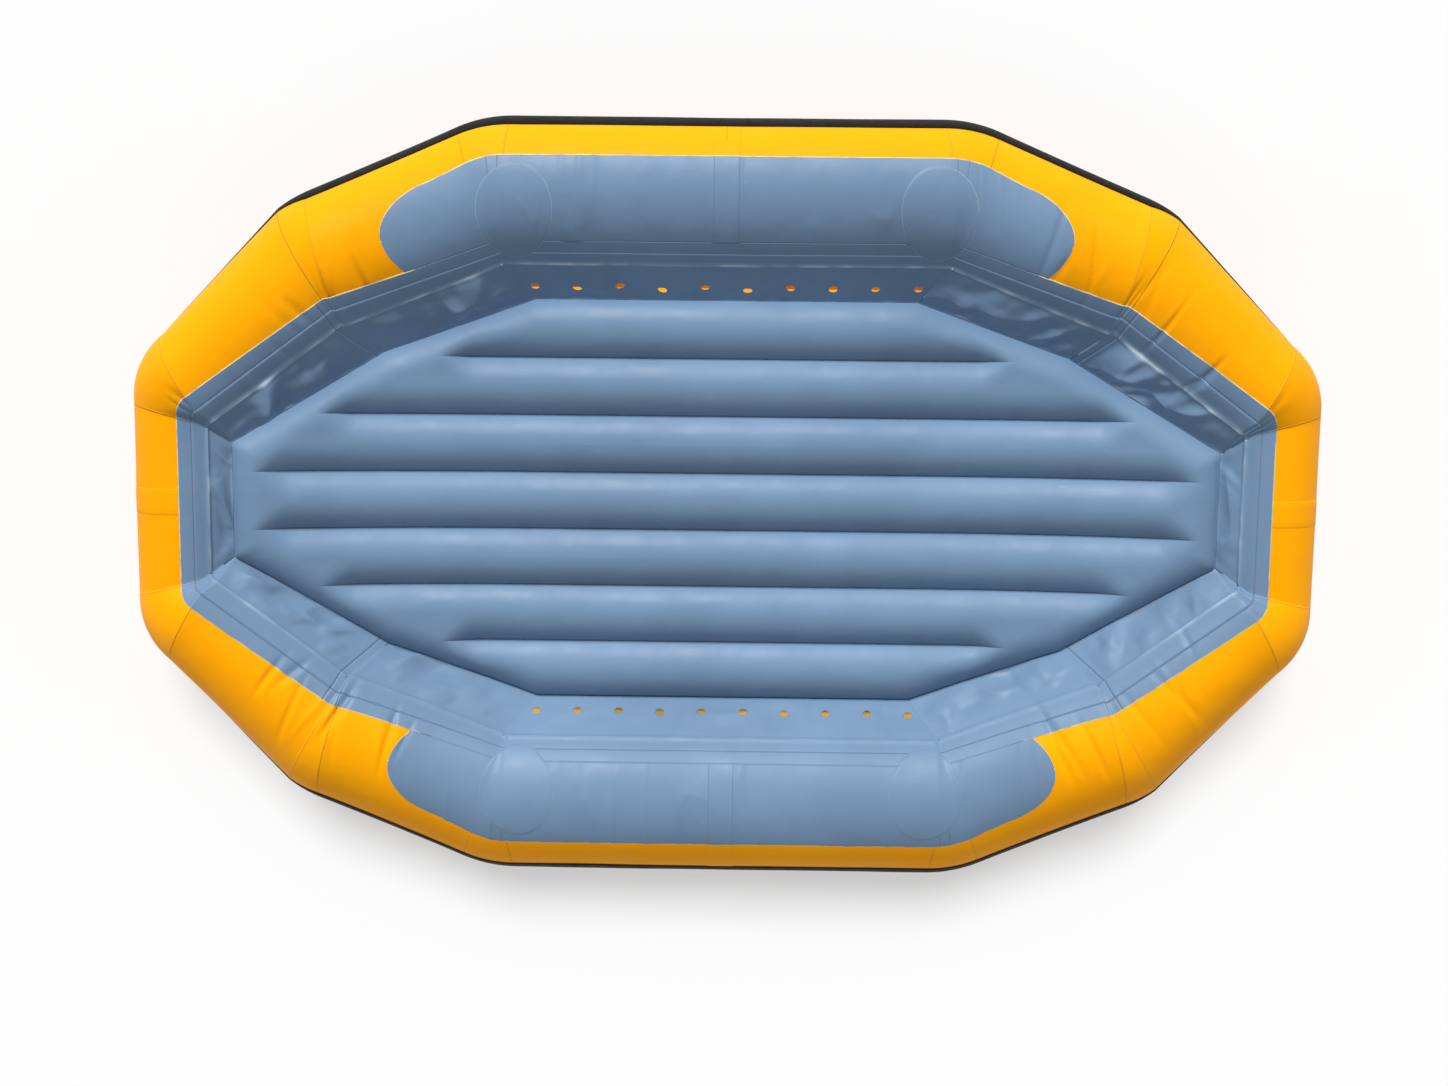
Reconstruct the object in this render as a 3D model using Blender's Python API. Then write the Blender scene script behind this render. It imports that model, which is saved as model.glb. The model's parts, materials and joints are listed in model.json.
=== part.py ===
"""Inflatable self-bailing raft, modelled in its own frame.

Metres, +Z up. +X points to the bow, +Y to port. The origin is on the ground
under the middle of the raft. One quarter of the buoyancy ring is worked out
from three plan corners and mirrored to the other three quarters.
"""
import math
from dataclasses import dataclass

import bmesh
import bpy
import numpy as np
from mathutils import Matrix, Vector

# Clearances
CLEARANCE = 0.0003          # gap between surfaces that touch
CUT_OVERRUN = 0.02          # how far a cutter runs past what it cuts
MERGE_DISTANCE = 0.00003    # points closer than this are one point

# Plan of the inner side of the buoyancy ring, first quarter
SIDE_CORNER_X = 0.581       # half length of the straight side
SIDE_CORNER_Y = 0.604       # half width between the side tubes
SHOULDER_X = 0.991          # corner between the two slanted runs
SHOULDER_Y = 0.437
END_CORNER_X = 1.326        # corner at the short straight end
END_CORNER_Y = 0.179

# Tubes. The radius shrinks a little round each bend.
SIDE_TUBE_RADIUS = 0.210
SIDE_BEND_END_RADIUS = 0.2065
SHOULDER_TUBE_RADIUS = 0.201
SHOULDER_BEND_END_RADIUS = 0.195
END_BEND_START_RADIUS = 0.158
END_TUBE_RADIUS = 0.132
BEND_PULL = 0.032           # lines this close to the inboard side bend sharply
SHARP_BEND_RADIUS = 0.030   # of those lines
TUBE_WALL = 0.0015
TUBE_RISE = 0.186           # how far the tube lifts at the very end
RISE_START = 0.56           # distance from the middle where the lift begins
RISE_LENGTH = 1.10          # distance over which the full lift is reached
SEAM_TAPE_WIDTH = 0.070
SEAM_TAPE_THICKNESS = 0.0005

# Outer trim of the tubes
STRAKE_THICKNESS = 0.0025
PAD_THICKNESS = 0.0020
BAND_THICKNESS = 0.0015
JOINT_SHARE = 0.15          # place of the curtain and band joints on their row
KEEL_STRIP_THICKNESS = 0.0015
PATCH_THICKNESS = 0.0012
PATCH_HALF_LENGTH = 0.103
PATCH_HALF_WIDTH = 0.118
PATCH_X = 0.560
PATCH_Y = 0.778
PAD_REACH = 0.162           # centre of a pad's round end, from the side corner
PAD_INSET = 0.017           # the same centre, inboard of the tube's middle
PAD_END_LENGTH = 0.145
PAD_OUTBOARD_WIDTH = 0.097  # half width of the round end, outboard of its centre
PAD_INBOARD_WIDTH = 0.150

# Curtain between tube and floor
CURTAIN_THICKNESS = 0.0012
CURTAIN_LEAN = 3.0          # degrees that it leans in past the tube's tangent
DRAIN_HOLES = 10
DRAIN_HOLE_RADIUS = 0.012
DRAIN_HOLE_PITCH = 0.114
DRAIN_HOLE_DEPTH_SHARE = 0.62

# Floor
FLOOR_EDGE_HEIGHT = 0.197   # top of the floor's side wall at mid length
FLOOR_DEPTH = 0.100         # between the upper and lower seam lines
FLOOR_RISE = 0.248          # how far the floor lifts at the very end
FLOOR_CORNER_PULL = 0.060   # the floor's side corners lie closer to mid length
FLOOR_SKIN = 0.0012
FLOOR_CHANNELS = 7
CHANNEL_CROWN = 0.030
EDGE_FALL_WIDTH = 0.055     # crown fades to the wall over this width
OUTER_SEAM_HALF_LENGTH = 0.762
MIDDLE_SEAM_HALF_LENGTH = 1.084
INNER_SEAM_HALF_LENGTH = 1.250
SEAM_FADE = 0.075           # a seam's valley fades out over this length
WEB_THICKNESS = 0.0012

# Bulkheads between the four air chambers
BULKHEAD_THICKNESS = 0.0012
BULKHEAD_DISH = 0.025
BULKHEAD_INSET = 0.018      # from the chamber joint
BULKHEAD_RING_SHARES = (1.0, 0.55)

# Inflation valves
VALVE_FLANGE_RADIUS = 0.033
VALVE_FLANGE_THICKNESS = 0.0022
VALVE_BARREL_RADIUS = 0.020
VALVE_BARREL_DEPTH = 0.020
VALVE_BORE_RADIUS = 0.016
VALVE_SEAT_RADIUS = 0.0115
VALVE_SEAT_THICKNESS = 0.003
VALVE_COLLAR_RADIUS = 0.0215
VALVE_COLLAR_HEIGHT = 0.0105
VALVE_BRIDGE_WIDTH = 0.012
VALVE_BRIDGE_TOP = -0.004
VALVE_BRIDGE_THICKNESS = 0.0035
VALVE_STEM_RADIUS = 0.003
VALVE_BUTTON_RADIUS = 0.006
VALVE_BUTTON_THICKNESS = 0.002
VALVE_DISC_RADIUS = 0.0145
VALVE_DISC_THICKNESS = 0.002
VALVE_TRAVEL = 0.008
CAP_WALL = 0.0025
CAP_GRIP_LENGTH = 0.036
CAP_GRIP_WIDTH = 0.005
CAP_GRIP_HEIGHT = 0.004
END_VALVE_OFFSET = 0.125    # chamber valve from the middle of the end
FLOOR_VALVE_X = -0.42

# Pressure relief valve of the floor
RELIEF_X = 0.42
RELIEF_FLANGE_RADIUS = 0.028
RELIEF_FLANGE_THICKNESS = 0.003
RELIEF_BARREL_RADIUS = 0.016
RELIEF_BARREL_DEPTH = 0.016
RELIEF_BORE_RADIUS = 0.012
RELIEF_HEAD_RADIUS = 0.0155
RELIEF_HEAD_THICKNESS = 0.002
RELIEF_STEM_RADIUS = 0.003
RELIEF_NUT_RADIUS = 0.005
RELIEF_NUT_THICKNESS = 0.002
RELIEF_TRAVEL = 0.003
RELIEF_BRIDGE_THICKNESS = 0.003
RELIEF_BRIDGE_WIDTH = 0.012

FITTING_MARGIN = 0.002      # flat crown left round the flange of a floor fitting

# Counts of steps in round shapes
CORNER_STEPS = {"side": 2, "shoulder": 2, "end": 5}
ROUND_SIDES = 12
PAD_END_STEPS = 10
PATCH_SIDES = 24
HOLE_SIDES = 8
FOOT_ROUNDS = 6             # the curtain's foot is found in this many rounds

# Stations along the two slanted runs, as shares of their length
SHOULDER_RUN_SHARES = (0.5,)
END_RUN_SHARES = (1.0 / 3.0, 2.0 / 3.0)

# Points across one channel of the upper skin, as shares of its width from its middle
TOP_CHANNEL_SHARES = (-0.5, -0.25, 0.0, 0.25)
SEAM_SHARE = -0.5           # the seam at the edge of a channel

# Lines along the tube, degrees round its section from the outboard side over
# the top. The same line has its own angle on each side of a bend.
LINE_NAMES = (
    "strake_low", "strake_lower_mid", "strake_upper_mid", "strake_high",
    "pad_outer", "crown_outer", "crown_inner", "band_outer", "flange_outer",
    "crease", "inner_upper", "inner_lower", "belly_inner", "keel_rise",
    "keel_inner", "keel_outer", "belly_outer",
)
SIDE_LINES = (-34, -11, 11, 34, 64, 79, 101, 127, 135, 147, 167, 190, 213, 236, 258, 282, 304)
SHOULDER_IN_LINES = (-34, -11, 11, 34, 62, 76, 97, 118, 129, 146, 166, 190, 213, 236, 258, 282, 304)
SHOULDER_OUT_LINES = (-34, -11, 11, 34, 60, 74, 95, 116, 127, 143, 165, 190, 213, 236, 258, 282, 304)
END_IN_LINES = (-38, -10, 11, 34, 54, 69, 86, 102, 118, 137, 161, 188, 212, 235, 257, 280, 300)
END_LINES = (-42, -8, 11, 34, 50, 66, 83, 98, 114, 131, 159, 186, 210, 234, 256, 278, 298)
LINE = {name: index for index, name in enumerate(LINE_NAMES)}

# Colours
SAFETY_YELLOW = (0.98, 0.47, 0.003, 1.0)
SLATE_BLUE = (0.16, 0.26, 0.38, 1.0)
RUBBER_BLACK = (0.012, 0.012, 0.011, 1.0)
VALVE_GREY = (0.10, 0.11, 0.12, 1.0)

# Surface finish
TUBE_ROUGHNESS = 0.45
PAD_ROUGHNESS = 0.50
STRAKE_ROUGHNESS = 0.60
VALVE_ROUGHNESS = 0.40
ROUND_SHADE_ANGLE = 35.0    # edges sharper than this stay sharp, degrees
TUBE_SHADE_ANGLE = 40.0
SKIN_SHADE_ANGLE = 60.0

# Heights of the layers bonded to the tube, measured off its surface
TAPE_LAYER = CLEARANCE
TRIM_LAYER = TAPE_LAYER + SEAM_TAPE_THICKNESS + CLEARANCE
PATCH_LAYER = TRIM_LAYER + PAD_THICKNESS + CLEARANCE
KEEL_LAYER = TRIM_LAYER + KEEL_STRIP_THICKNESS


def clear_scene():
    """Remove every object of the open scene."""
    for item in list(bpy.data.objects):
        bpy.data.objects.remove(item, do_unlink=True)


def material(name, colour, roughness):
    """Return the Principled material of this name, made once."""
    found = bpy.data.materials.get(name)
    if found:
        return found
    made = bpy.data.materials.new(name)
    made.use_nodes = True
    shader = made.node_tree.nodes["Principled BSDF"]
    shader.inputs["Base Color"].default_value = colour
    shader.inputs["Roughness"].default_value = roughness
    return made


def tube_fabric():
    """Coated yellow fabric of the tubes."""
    return material("tube_fabric", SAFETY_YELLOW, TUBE_ROUGHNESS)


def pad_fabric():
    """Blue-grey coated fabric of floor, curtain, bands and pads."""
    return material("pad_fabric", SLATE_BLUE, PAD_ROUGHNESS)


def strake_rubber():
    """Black rubber of the rub strakes and keel strips."""
    return material("strake_rubber", RUBBER_BLACK, STRAKE_ROUGHNESS)


def valve_plastic():
    """Moulded plastic of the valves."""
    return material("valve_plastic", VALVE_GREY, VALVE_ROUGHNESS)


def enclosed_volume(points, faces):
    """Signed volume inside a closed mesh of triangles and quads."""
    total = 0.0
    for face in faces:
        first = points[face[0]]
        for a, b in zip(face[1:-1], face[2:]):
            total += np.dot(first, np.cross(points[a], points[b])) / 6.0
    return total


def solid_object(name, points, faces, finish, matrix=None, merge=0.0):
    """Make one closed object with its faces pointing out."""
    points = np.asarray(points, dtype=float)
    if enclosed_volume(points, faces) < 0.0:
        faces = [tuple(reversed(face)) for face in faces]
    mesh = bpy.data.meshes.new(name)
    mesh.from_pydata([tuple(p) for p in points], [], faces)
    if merge > 0.0:
        work = bmesh.new()
        work.from_mesh(mesh)
        bmesh.ops.remove_doubles(work, verts=work.verts, dist=merge)
        work.to_mesh(mesh)
        work.free()
    mesh.materials.append(finish)
    made = bpy.data.objects.new(name, mesh)
    bpy.context.collection.objects.link(made)
    if matrix is not None:
        made.matrix_world = matrix
    return made


def round_off(item, angle=ROUND_SHADE_ANGLE):
    """Shade a round piece smooth, with its sharp edges kept."""
    item.data.shade_smooth()
    item.data.set_sharp_from_angle(angle=math.radians(angle))


def grid_faces(rows, columns, start, flip, wrap=False, turned_rows=()):
    """Triangles of a grid of points.

    Every cell is split along the same diagonal, apart from the rows that a
    mirror image has turned round, where it is the other one. So pieces that
    lie on each other have parallel facets.
    """
    faces = []
    last = columns if wrap else columns - 1
    for i in range(rows - 1):
        for j in range(last):
            k = (j + 1) % columns
            a, b = start + i * columns + j, start + (i + 1) * columns + j
            c, d = start + (i + 1) * columns + k, start + i * columns + k
            pair = ((a, b, d), (b, c, d)) if i in turned_rows else ((a, b, c), (a, c, d))
            for face in pair:
                faces.append(tuple(reversed(face)) if flip else face)
    return faces


def rows_turned(rows, joined):
    """Rows of a joined grid that come from its reversed mirror image."""
    if joined == "side":
        return range(0, rows // 2 - 1)
    if joined == "end":
        return range(rows // 2, rows - 1)
    return ()


def sheet_solid(name, upper, lower, finish, joined="", merge=0.0):
    """Close two facing grids of points into a thin solid."""
    rows, columns = upper.shape[:2]
    count = rows * columns
    points = np.concatenate([upper.reshape(-1, 3), lower.reshape(-1, 3)])
    turned_rows = rows_turned(rows, joined)
    faces = grid_faces(rows, columns, 0, False, turned_rows=turned_rows)
    faces += grid_faces(rows, columns, count, True, turned_rows=turned_rows)
    border = [i * columns for i in range(rows)]
    border += [(rows - 1) * columns + j for j in range(1, columns)]
    border += [i * columns + columns - 1 for i in range(rows - 2, -1, -1)]
    border += list(range(columns - 2, 0, -1))
    for a, b in zip(border, border[1:] + border[:1]):
        faces.append((a, b + count, b))
        faces.append((a, a + count, b + count))
    return solid_object(name, points, faces, finish, merge=merge)


def pipe_solid(name, outer, inner, finish):
    """Close two nested grids, each wrapped into a pipe, at both ends."""
    rows, columns = outer.shape[:2]
    count = rows * columns
    points = np.concatenate([outer.reshape(-1, 3), inner.reshape(-1, 3)])
    faces = grid_faces(rows, columns, 0, False, wrap=True)
    faces += grid_faces(rows, columns, count, True, wrap=True)
    for row, flip in ((0, False), (rows - 1, True)):
        for j in range(columns):
            k = (j + 1) % columns
            a, b = row * columns + j, row * columns + k
            for face in ((a, b, b + count), (a, b + count, a + count)):
                faces.append(tuple(reversed(face)) if flip else face)
    return solid_object(name, points, faces, finish)


def boolean(item, cutter, operation="DIFFERENCE"):
    """Combine an object with a cutter and keep the cutter out of the model."""
    step = item.modifiers.new(operation.lower(), "BOOLEAN")
    step.operation = operation
    step.solver = "EXACT"
    step.object = cutter
    cutter.hide_render = True
    cutter.hide_viewport = True
    cutter.display_type = "WIRE"


def prism(name, outline, low, high):
    """Upright prism over a plan outline, used as a cutter."""
    count = len(outline)
    points = [(x, y, low) for x, y in outline] + [(x, y, high) for x, y in outline]
    faces = [tuple(range(count - 1, -1, -1)), tuple(range(count, 2 * count))]
    for i in range(count):
        j = (i + 1) % count
        faces.append((i, j, j + count, i + count))
    return solid_object(name, points, faces, pad_fabric())


def turned(name, profile, finish, matrix):
    """Spin a closed profile of (radius, height) round the local Z axis."""
    sides = ROUND_SIDES
    points, rings = [], []
    for radius, height in profile:
        if radius == 0.0:
            rings.append([len(points)])
            points.append((0.0, 0.0, height))
            continue
        rings.append(list(range(len(points), len(points) + sides)))
        for step in range(sides):
            angle = 2.0 * math.pi * step / sides
            points.append((radius * math.cos(angle), radius * math.sin(angle), height))
    faces = []
    closed = profile[0][0] != 0.0
    pairs = list(zip(rings, rings[1:])) + ([(rings[-1], rings[0])] if closed else [])
    for ring, following in pairs:
        for step in range(sides):
            after = (step + 1) % sides
            if len(ring) == 1:
                faces.append((ring[0], following[step], following[after]))
            elif len(following) == 1:
                faces.append((ring[step], following[0], ring[after]))
            else:
                faces.append((ring[step], following[step], following[after], ring[after]))
    made = solid_object(name, points, faces, finish, matrix)
    round_off(made)
    return made


def drill(name, radius, high, low, matrix):
    """Round cutter along the local Z axis, between two heights."""
    profile = [(0.0, high), (radius, high), (radius, low), (0.0, low)]
    return turned(name, profile, valve_plastic(), matrix)


def box_cutter(name, size, centre, matrix):
    """Box of the given size, placed by its centre in a local frame."""
    half = np.asarray(size) / 2.0
    corners = [(i, j, k) for k in (-1, 1) for j in (-1, 1) for i in (-1, 1)]
    points = [np.asarray(centre) + half * np.asarray(corner) for corner in corners]
    faces = [(0, 2, 3, 1), (4, 5, 7, 6), (0, 1, 5, 4), (2, 6, 7, 3), (0, 4, 6, 2), (1, 3, 7, 5)]
    return solid_object(name, points, faces, valve_plastic(), matrix)


@dataclass(frozen=True)
class Corner:
    """One bend of the ring: its inboard plan corner, directions, radii and lines."""

    pivot: np.ndarray
    facing_in: float
    facing_out: float
    radius_in: float
    radius_out: float
    lines_in: np.ndarray
    lines_out: np.ndarray
    steps: int

    def offset(self, distance_in, distance_out):
        """Plan point at given distances outboard of the two runs that meet here."""
        sine = math.sin(self.facing_out - self.facing_in)
        cross_in = np.array([math.sin(self.facing_out), -math.cos(self.facing_out)])
        cross_out = np.array([-math.sin(self.facing_in), math.cos(self.facing_in)])
        return self.pivot + (np.multiply.outer(distance_in, cross_in)
                             + np.multiply.outer(distance_out, cross_out)) / sine

    def plan(self, share, angles, height):
        """Plan points of lines round the section at a share of the way round."""
        reach = np.cos(angles)
        distance_in = self.radius_in + (self.radius_in + height) * reach
        distance_out = self.radius_out + (self.radius_out + height) * reach
        bend = np.maximum(SHARP_BEND_RADIUS, np.minimum(distance_in, distance_out) - BEND_PULL)
        facing = self.facing_in * (1.0 - share) + self.facing_out * share
        outward = np.array([math.cos(facing), math.sin(facing)])
        return self.offset(distance_in - bend, distance_out - bend) + bend[..., None] * outward

    def radius(self, share):
        """Tube radius at a share of the way round."""
        return self.radius_in * (1.0 - share) + self.radius_out * share

    def lines(self, share):
        """Angles of the tube's lines at a share of the way round, in degrees."""
        return self.lines_in * (1.0 - share) + self.lines_out * share


@dataclass(frozen=True)
class Station:
    """One section of the ring, between a share of one bend and of the next."""

    corner: Corner
    bend_share: float
    following: Corner
    run_share: float
    foot: np.ndarray
    fixed_x: float = None
    fixed_y: float = None

    def mixed(self, own, other):
        """A value between the two bends."""
        return own * (1.0 - self.run_share) + other * self.run_share

    def radius(self):
        """Tube radius here."""
        return self.mixed(self.corner.radius(self.bend_share), self.following.radius_in)

    def lines(self):
        """Angles of the tube's lines here, in radians."""
        return np.radians(self.mixed(self.corner.lines(self.bend_share), self.following.lines_in))

    def plan(self, angles, height):
        """Plan points of lines round the section, a given height off the tube."""
        own = self.corner.plan(self.bend_share, angles, height)
        points = self.mixed(own, self.following.plan(0.0, angles, height))
        if self.fixed_x is not None:
            points[..., 0] = self.fixed_x
        if self.fixed_y is not None:
            points[..., 1] = self.fixed_y
        return points


def tube_rise(x):
    """Lift of the tube's underside at a distance from mid length."""
    return TUBE_RISE * np.maximum(0.0, (np.abs(x) - RISE_START) / RISE_LENGTH) ** 2


def floor_edge_height(x):
    """Height of the floor's edge at a distance from mid length."""
    return FLOOR_EDGE_HEIGHT + FLOOR_RISE * np.maximum(0.0, (np.abs(x) - RISE_START) / RISE_LENGTH) ** 2


def keel_share():
    """Height of the tube's centre over its flat keel facet, per unit of radius."""
    half_facet = (SIDE_LINES[LINE["keel_outer"]] - SIDE_LINES[LINE["keel_inner"]]) / 2.0
    return math.cos(math.radians(half_facet))


def section_centre(station):
    """Centre of the tube's section at a station.

    The keel strips of the straight sides reach down to the ground.
    """
    radius = station.radius()
    plan = station.plan(np.array([math.pi / 2.0]), 0.0)[0]
    height = tube_rise(plan[0]) + (radius + KEEL_LAYER) * keel_share()
    return np.array([plan[0], plan[1], height])


def section_points(station, height, angles=None):
    """The tube's lines at one station, a given height off its surface."""
    angles = station.lines() if angles is None else angles
    plan = station.plan(angles, height)
    up = section_centre(station)[2] + (station.radius() + height) * np.sin(angles)
    return np.column_stack([plan, up])


def facing_between(first, second):
    """Outward direction of the straight run between two plan corners."""
    run = second - first
    return math.atan2(run[0], -run[1])


def curtain_foot(corner):
    """Plan point where the curtain meets the floor at a bend.

    On both sides of the bend the curtain leaves the tube at the crease, along
    the tube's surface there and leaning in a little more.
    """
    tops, leans, reaches = [], [], []
    for share, radius in ((0.0, corner.radius_in), (1.0, corner.radius_out)):
        crease = np.radians(corner.lines(share)[LINE["crease"]])
        station = Station(corner, share, corner, 0.0, corner.pivot)
        tops.append(section_points(station, TRIM_LAYER + CURTAIN_THICKNESS, np.array([crease]))[0][2])
        leans.append(math.tan(math.pi - crease + math.radians(CURTAIN_LEAN)))
        reaches.append(radius * (1.0 + math.cos(crease)))
    foot = corner.pivot
    for _ in range(FOOT_ROUNDS):
        height = floor_edge_height(foot[0])
        foot = corner.offset(*(r - (t - height) * lean for r, t, lean in zip(reaches, tops, leans)))
    return foot


def quarter_corners():
    """The three bends of the first quarter, from the side to the end."""
    side = np.array([SIDE_CORNER_X, SIDE_CORNER_Y])
    shoulder = np.array([SHOULDER_X, SHOULDER_Y])
    end = np.array([END_CORNER_X, END_CORNER_Y])
    facings = (math.pi / 2.0, facing_between(side, shoulder), facing_between(shoulder, end), 0.0)
    rows = (
        (side, SIDE_TUBE_RADIUS, SIDE_BEND_END_RADIUS, SIDE_LINES, SIDE_LINES),
        (shoulder, SHOULDER_TUBE_RADIUS, SHOULDER_BEND_END_RADIUS, SHOULDER_IN_LINES, SHOULDER_OUT_LINES),
        (end, END_BEND_START_RADIUS, END_TUBE_RADIUS, END_IN_LINES, END_LINES),
    )
    return [Corner(pivot, facings[i], facings[i + 1], radius_in, radius_out,
                   np.array(lines_in, dtype=float), np.array(lines_out, dtype=float), steps)
            for i, ((pivot, radius_in, radius_out, lines_in, lines_out), steps)
            in enumerate(zip(rows, CORNER_STEPS.values()))]


def quarter_stations():
    """Stations from the middle of the side to the middle of the end."""
    corners = quarter_corners()
    side, shoulder, end = corners
    feet = [curtain_foot(corner) for corner in corners]
    feet[0] = feet[0] - np.array([FLOOR_CORNER_PULL, 0.0])
    stations = []
    for x in (CLEARANCE / 2.0, SEAM_TAPE_WIDTH / 2.0, SIDE_CORNER_X / 2.0):
        foot = np.array([feet[0][0] * x / SIDE_CORNER_X, feet[0][1]])
        stations.append(Station(side, 0.0, side, 0.0, foot, fixed_x=x))
    for i, corner in enumerate(corners):
        for step in range(corner.steps + 1):
            stations.append(Station(corner, step / corner.steps, corner, 0.0, feet[i]))
        if corner is end:
            break
        for share in SHOULDER_RUN_SHARES if corner is side else END_RUN_SHARES:
            foot = feet[i] * (1.0 - share) + feet[i + 1] * share
            stations.append(Station(corner, 1.0, corners[i + 1], share, foot))
    for y in (SEAM_TAPE_WIDTH / 2.0, CLEARANCE / 2.0):
        foot = np.array([feet[2][0], feet[2][1] * y / END_CORNER_Y])
        stations.append(Station(end, 1.0, end, 0.0, foot, fixed_y=y))
    return stations


STATIONS = quarter_stations()
SIDE_MIDDLE = 0
SIDE_HALF = 2
SIDE_BEND = 3
SIDE_BEND_END = SIDE_BEND + CORNER_STEPS["side"]
SHOULDER_BEND = SIDE_BEND_END + len(SHOULDER_RUN_SHARES) + 1
SHOULDER_BEND_END = SHOULDER_BEND + CORNER_STEPS["shoulder"]
END_BEND = SHOULDER_BEND_END + len(END_RUN_SHARES) + 1
END_MIDDLE = len(STATIONS) - 1


def quarter_grid(offset):
    """All lines at all stations of the first quarter, as one array."""
    return np.array([section_points(station, offset) for station in STATIONS])


def blend_rows(grid, places):
    """Rows of a grid at whole or fractional places, kept on its facets."""
    places = np.asarray(places, dtype=float)
    low = np.minimum(places.astype(int), grid.shape[0] - 2)
    share = (places - low).reshape((-1,) + (1,) * (grid.ndim - 1))
    return grid[low] * (1.0 - share) + grid[low + 1] * share


def patch_of_grid(grid, rows, columns):
    """Part of a grid between given rows and columns, which may be fractions."""
    part = blend_rows(grid, rows)
    return blend_rows(part.transpose(1, 0, 2), columns).transpose(1, 0, 2)


def mirrored(grid, sign_x, sign_y):
    """A grid carried to another quarter."""
    return grid * np.array([sign_x, sign_y, 1.0])


def across_side(grid):
    """A quarter's rows and their mirror image joined over the middle of the side."""
    return np.concatenate([mirrored(grid[::-1], -1.0, 1.0), grid])


def across_end(grid):
    """A quarter's rows and their mirror image joined over the middle of the end."""
    return np.concatenate([grid, mirrored(grid[::-1], 1.0, -1.0)])


def span(first, last):
    """Row or column places from first to last, with the whole ones between."""
    whole = range(math.floor(first) + 1, math.ceil(last))
    return [first, *whole, last]


def clear_of(column):
    """Share of one column that leaves the clearance beside a neighbour."""
    angle = math.radians(END_LINES[column + 1] - END_LINES[column])
    return CLEARANCE / (END_TUBE_RADIUS * angle)


def joint_rows():
    """Row places on both sides of the joint between side and end pieces."""
    before, after = STATIONS[SHOULDER_BEND_END], STATIONS[SHOULDER_BEND_END + 1]
    gap_share = CLEARANCE / np.linalg.norm(section_centre(after) - section_centre(before))
    place = SHOULDER_BEND_END + JOINT_SHARE
    return place - gap_share / 2.0, place + gap_share / 2.0


QUARTERS = {
    "bow_port": (1.0, 1.0), "stern_port": (-1.0, 1.0),
    "bow_starboard": (1.0, -1.0), "stern_starboard": (-1.0, -1.0),
}
SIDES = {"port": 1.0, "starboard": -1.0}
ENDS = {"bow": 1.0, "stern": -1.0}


def end_valve_frame():
    """Place of a chamber valve on the end tube, in the first quarter."""
    end = STATIONS[END_MIDDLE]
    points = section_points(end, 0.0)
    low, high = points[LINE["strake_low"]], points[LINE["strake_lower_mid"]]
    seat = (low + high) / 2.0
    seat[1] = END_VALVE_OFFSET
    along = high - low
    outward = np.array([along[2], 0.0, -along[0]]) / np.linalg.norm(along)
    return seat, outward


def frame_matrix(seat, outward):
    """Matrix with local Z along the outward direction."""
    turn = Vector(outward).to_track_quat("Z", "Y")
    return Matrix.Translation(Vector(seat)) @ turn.to_matrix().to_4x4()


def chamber_valve_matrix(sign_x, sign_y):
    """Frame of the inflation valve of one chamber."""
    seat, outward = end_valve_frame()
    return frame_matrix(seat * np.array([sign_x, sign_y, 1.0]), outward * np.array([sign_x, 1.0, 1.0]))


def flat_crown_half_width():
    """Half width of the flat crown of a lower channel, on which fittings sit."""
    return max(VALVE_FLANGE_RADIUS, RELIEF_FLANGE_RADIUS) + FITTING_MARGIN


def floor_bottom_height():
    """Height of the flat crown under the middle channel."""
    return FLOOR_EDGE_HEIGHT - FLOOR_DEPTH - float(crown_height(0.0, flat_crown_half_width()))


def floor_fitting_matrix(x):
    """Frame of a fitting under the floor, facing down."""
    return frame_matrix((x, 0.0, floor_bottom_height()), (0.0, 0.0, -1.0))


def build_chambers():
    """Four air chambers: open pipes of coated fabric, each with a valve hole."""
    outer, inner = quarter_grid(0.0), quarter_grid(-TUBE_WALL)
    for name, (sx, sy) in QUARTERS.items():
        grids = [mirrored(g, sx, sy) for g in (outer, inner)]
        chamber = pipe_solid(f"chamber_{name}", *grids, tube_fabric())
        round_off(chamber, TUBE_SHADE_ANGLE)
        hole = VALVE_BARREL_RADIUS + CLEARANCE
        boolean(chamber, drill(f"cut_valve_hole_{name}", hole, CUT_OVERRUN, -CUT_OVERRUN,
                               chamber_valve_matrix(sx, sy)))


def build_seam_tapes():
    """Tapes round the tube over the joints between neighbouring chambers."""
    high, low = quarter_grid(TAPE_LAYER + SEAM_TAPE_THICKNESS), quarter_grid(TAPE_LAYER)
    side_rows = slice(SIDE_MIDDLE, SIDE_MIDDLE + 2)
    end_rows = slice(END_MIDDLE - 1, END_MIDDLE + 1)
    for side, sign in SIDES.items():
        grids = [mirrored(across_side(g[side_rows]), 1.0, sign) for g in (high, low)]
        pipe_solid(f"seam_tape_{side}", *grids, tube_fabric())
    for end, sign in ENDS.items():
        grids = [mirrored(across_end(g[end_rows]), sign, 1.0) for g in (high, low)]
        pipe_solid(f"seam_tape_{end}", *grids, tube_fabric())


def build_keel_strips():
    """Flat rubber strips under the straight side tubes, on which the raft stands."""
    rows = span(SIDE_MIDDLE, SIDE_BEND)
    columns = span(LINE["keel_inner"], LINE["keel_outer"])
    layers = [across_side(patch_of_grid(quarter_grid(h), rows, columns)) for h in (KEEL_LAYER, TRIM_LAYER)]
    for side, sign in SIDES.items():
        grids = [mirrored(g, 1.0, sign) for g in layers]
        sheet_solid(f"keel_strip_{side}", *grids, strake_rubber(), "side")


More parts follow.
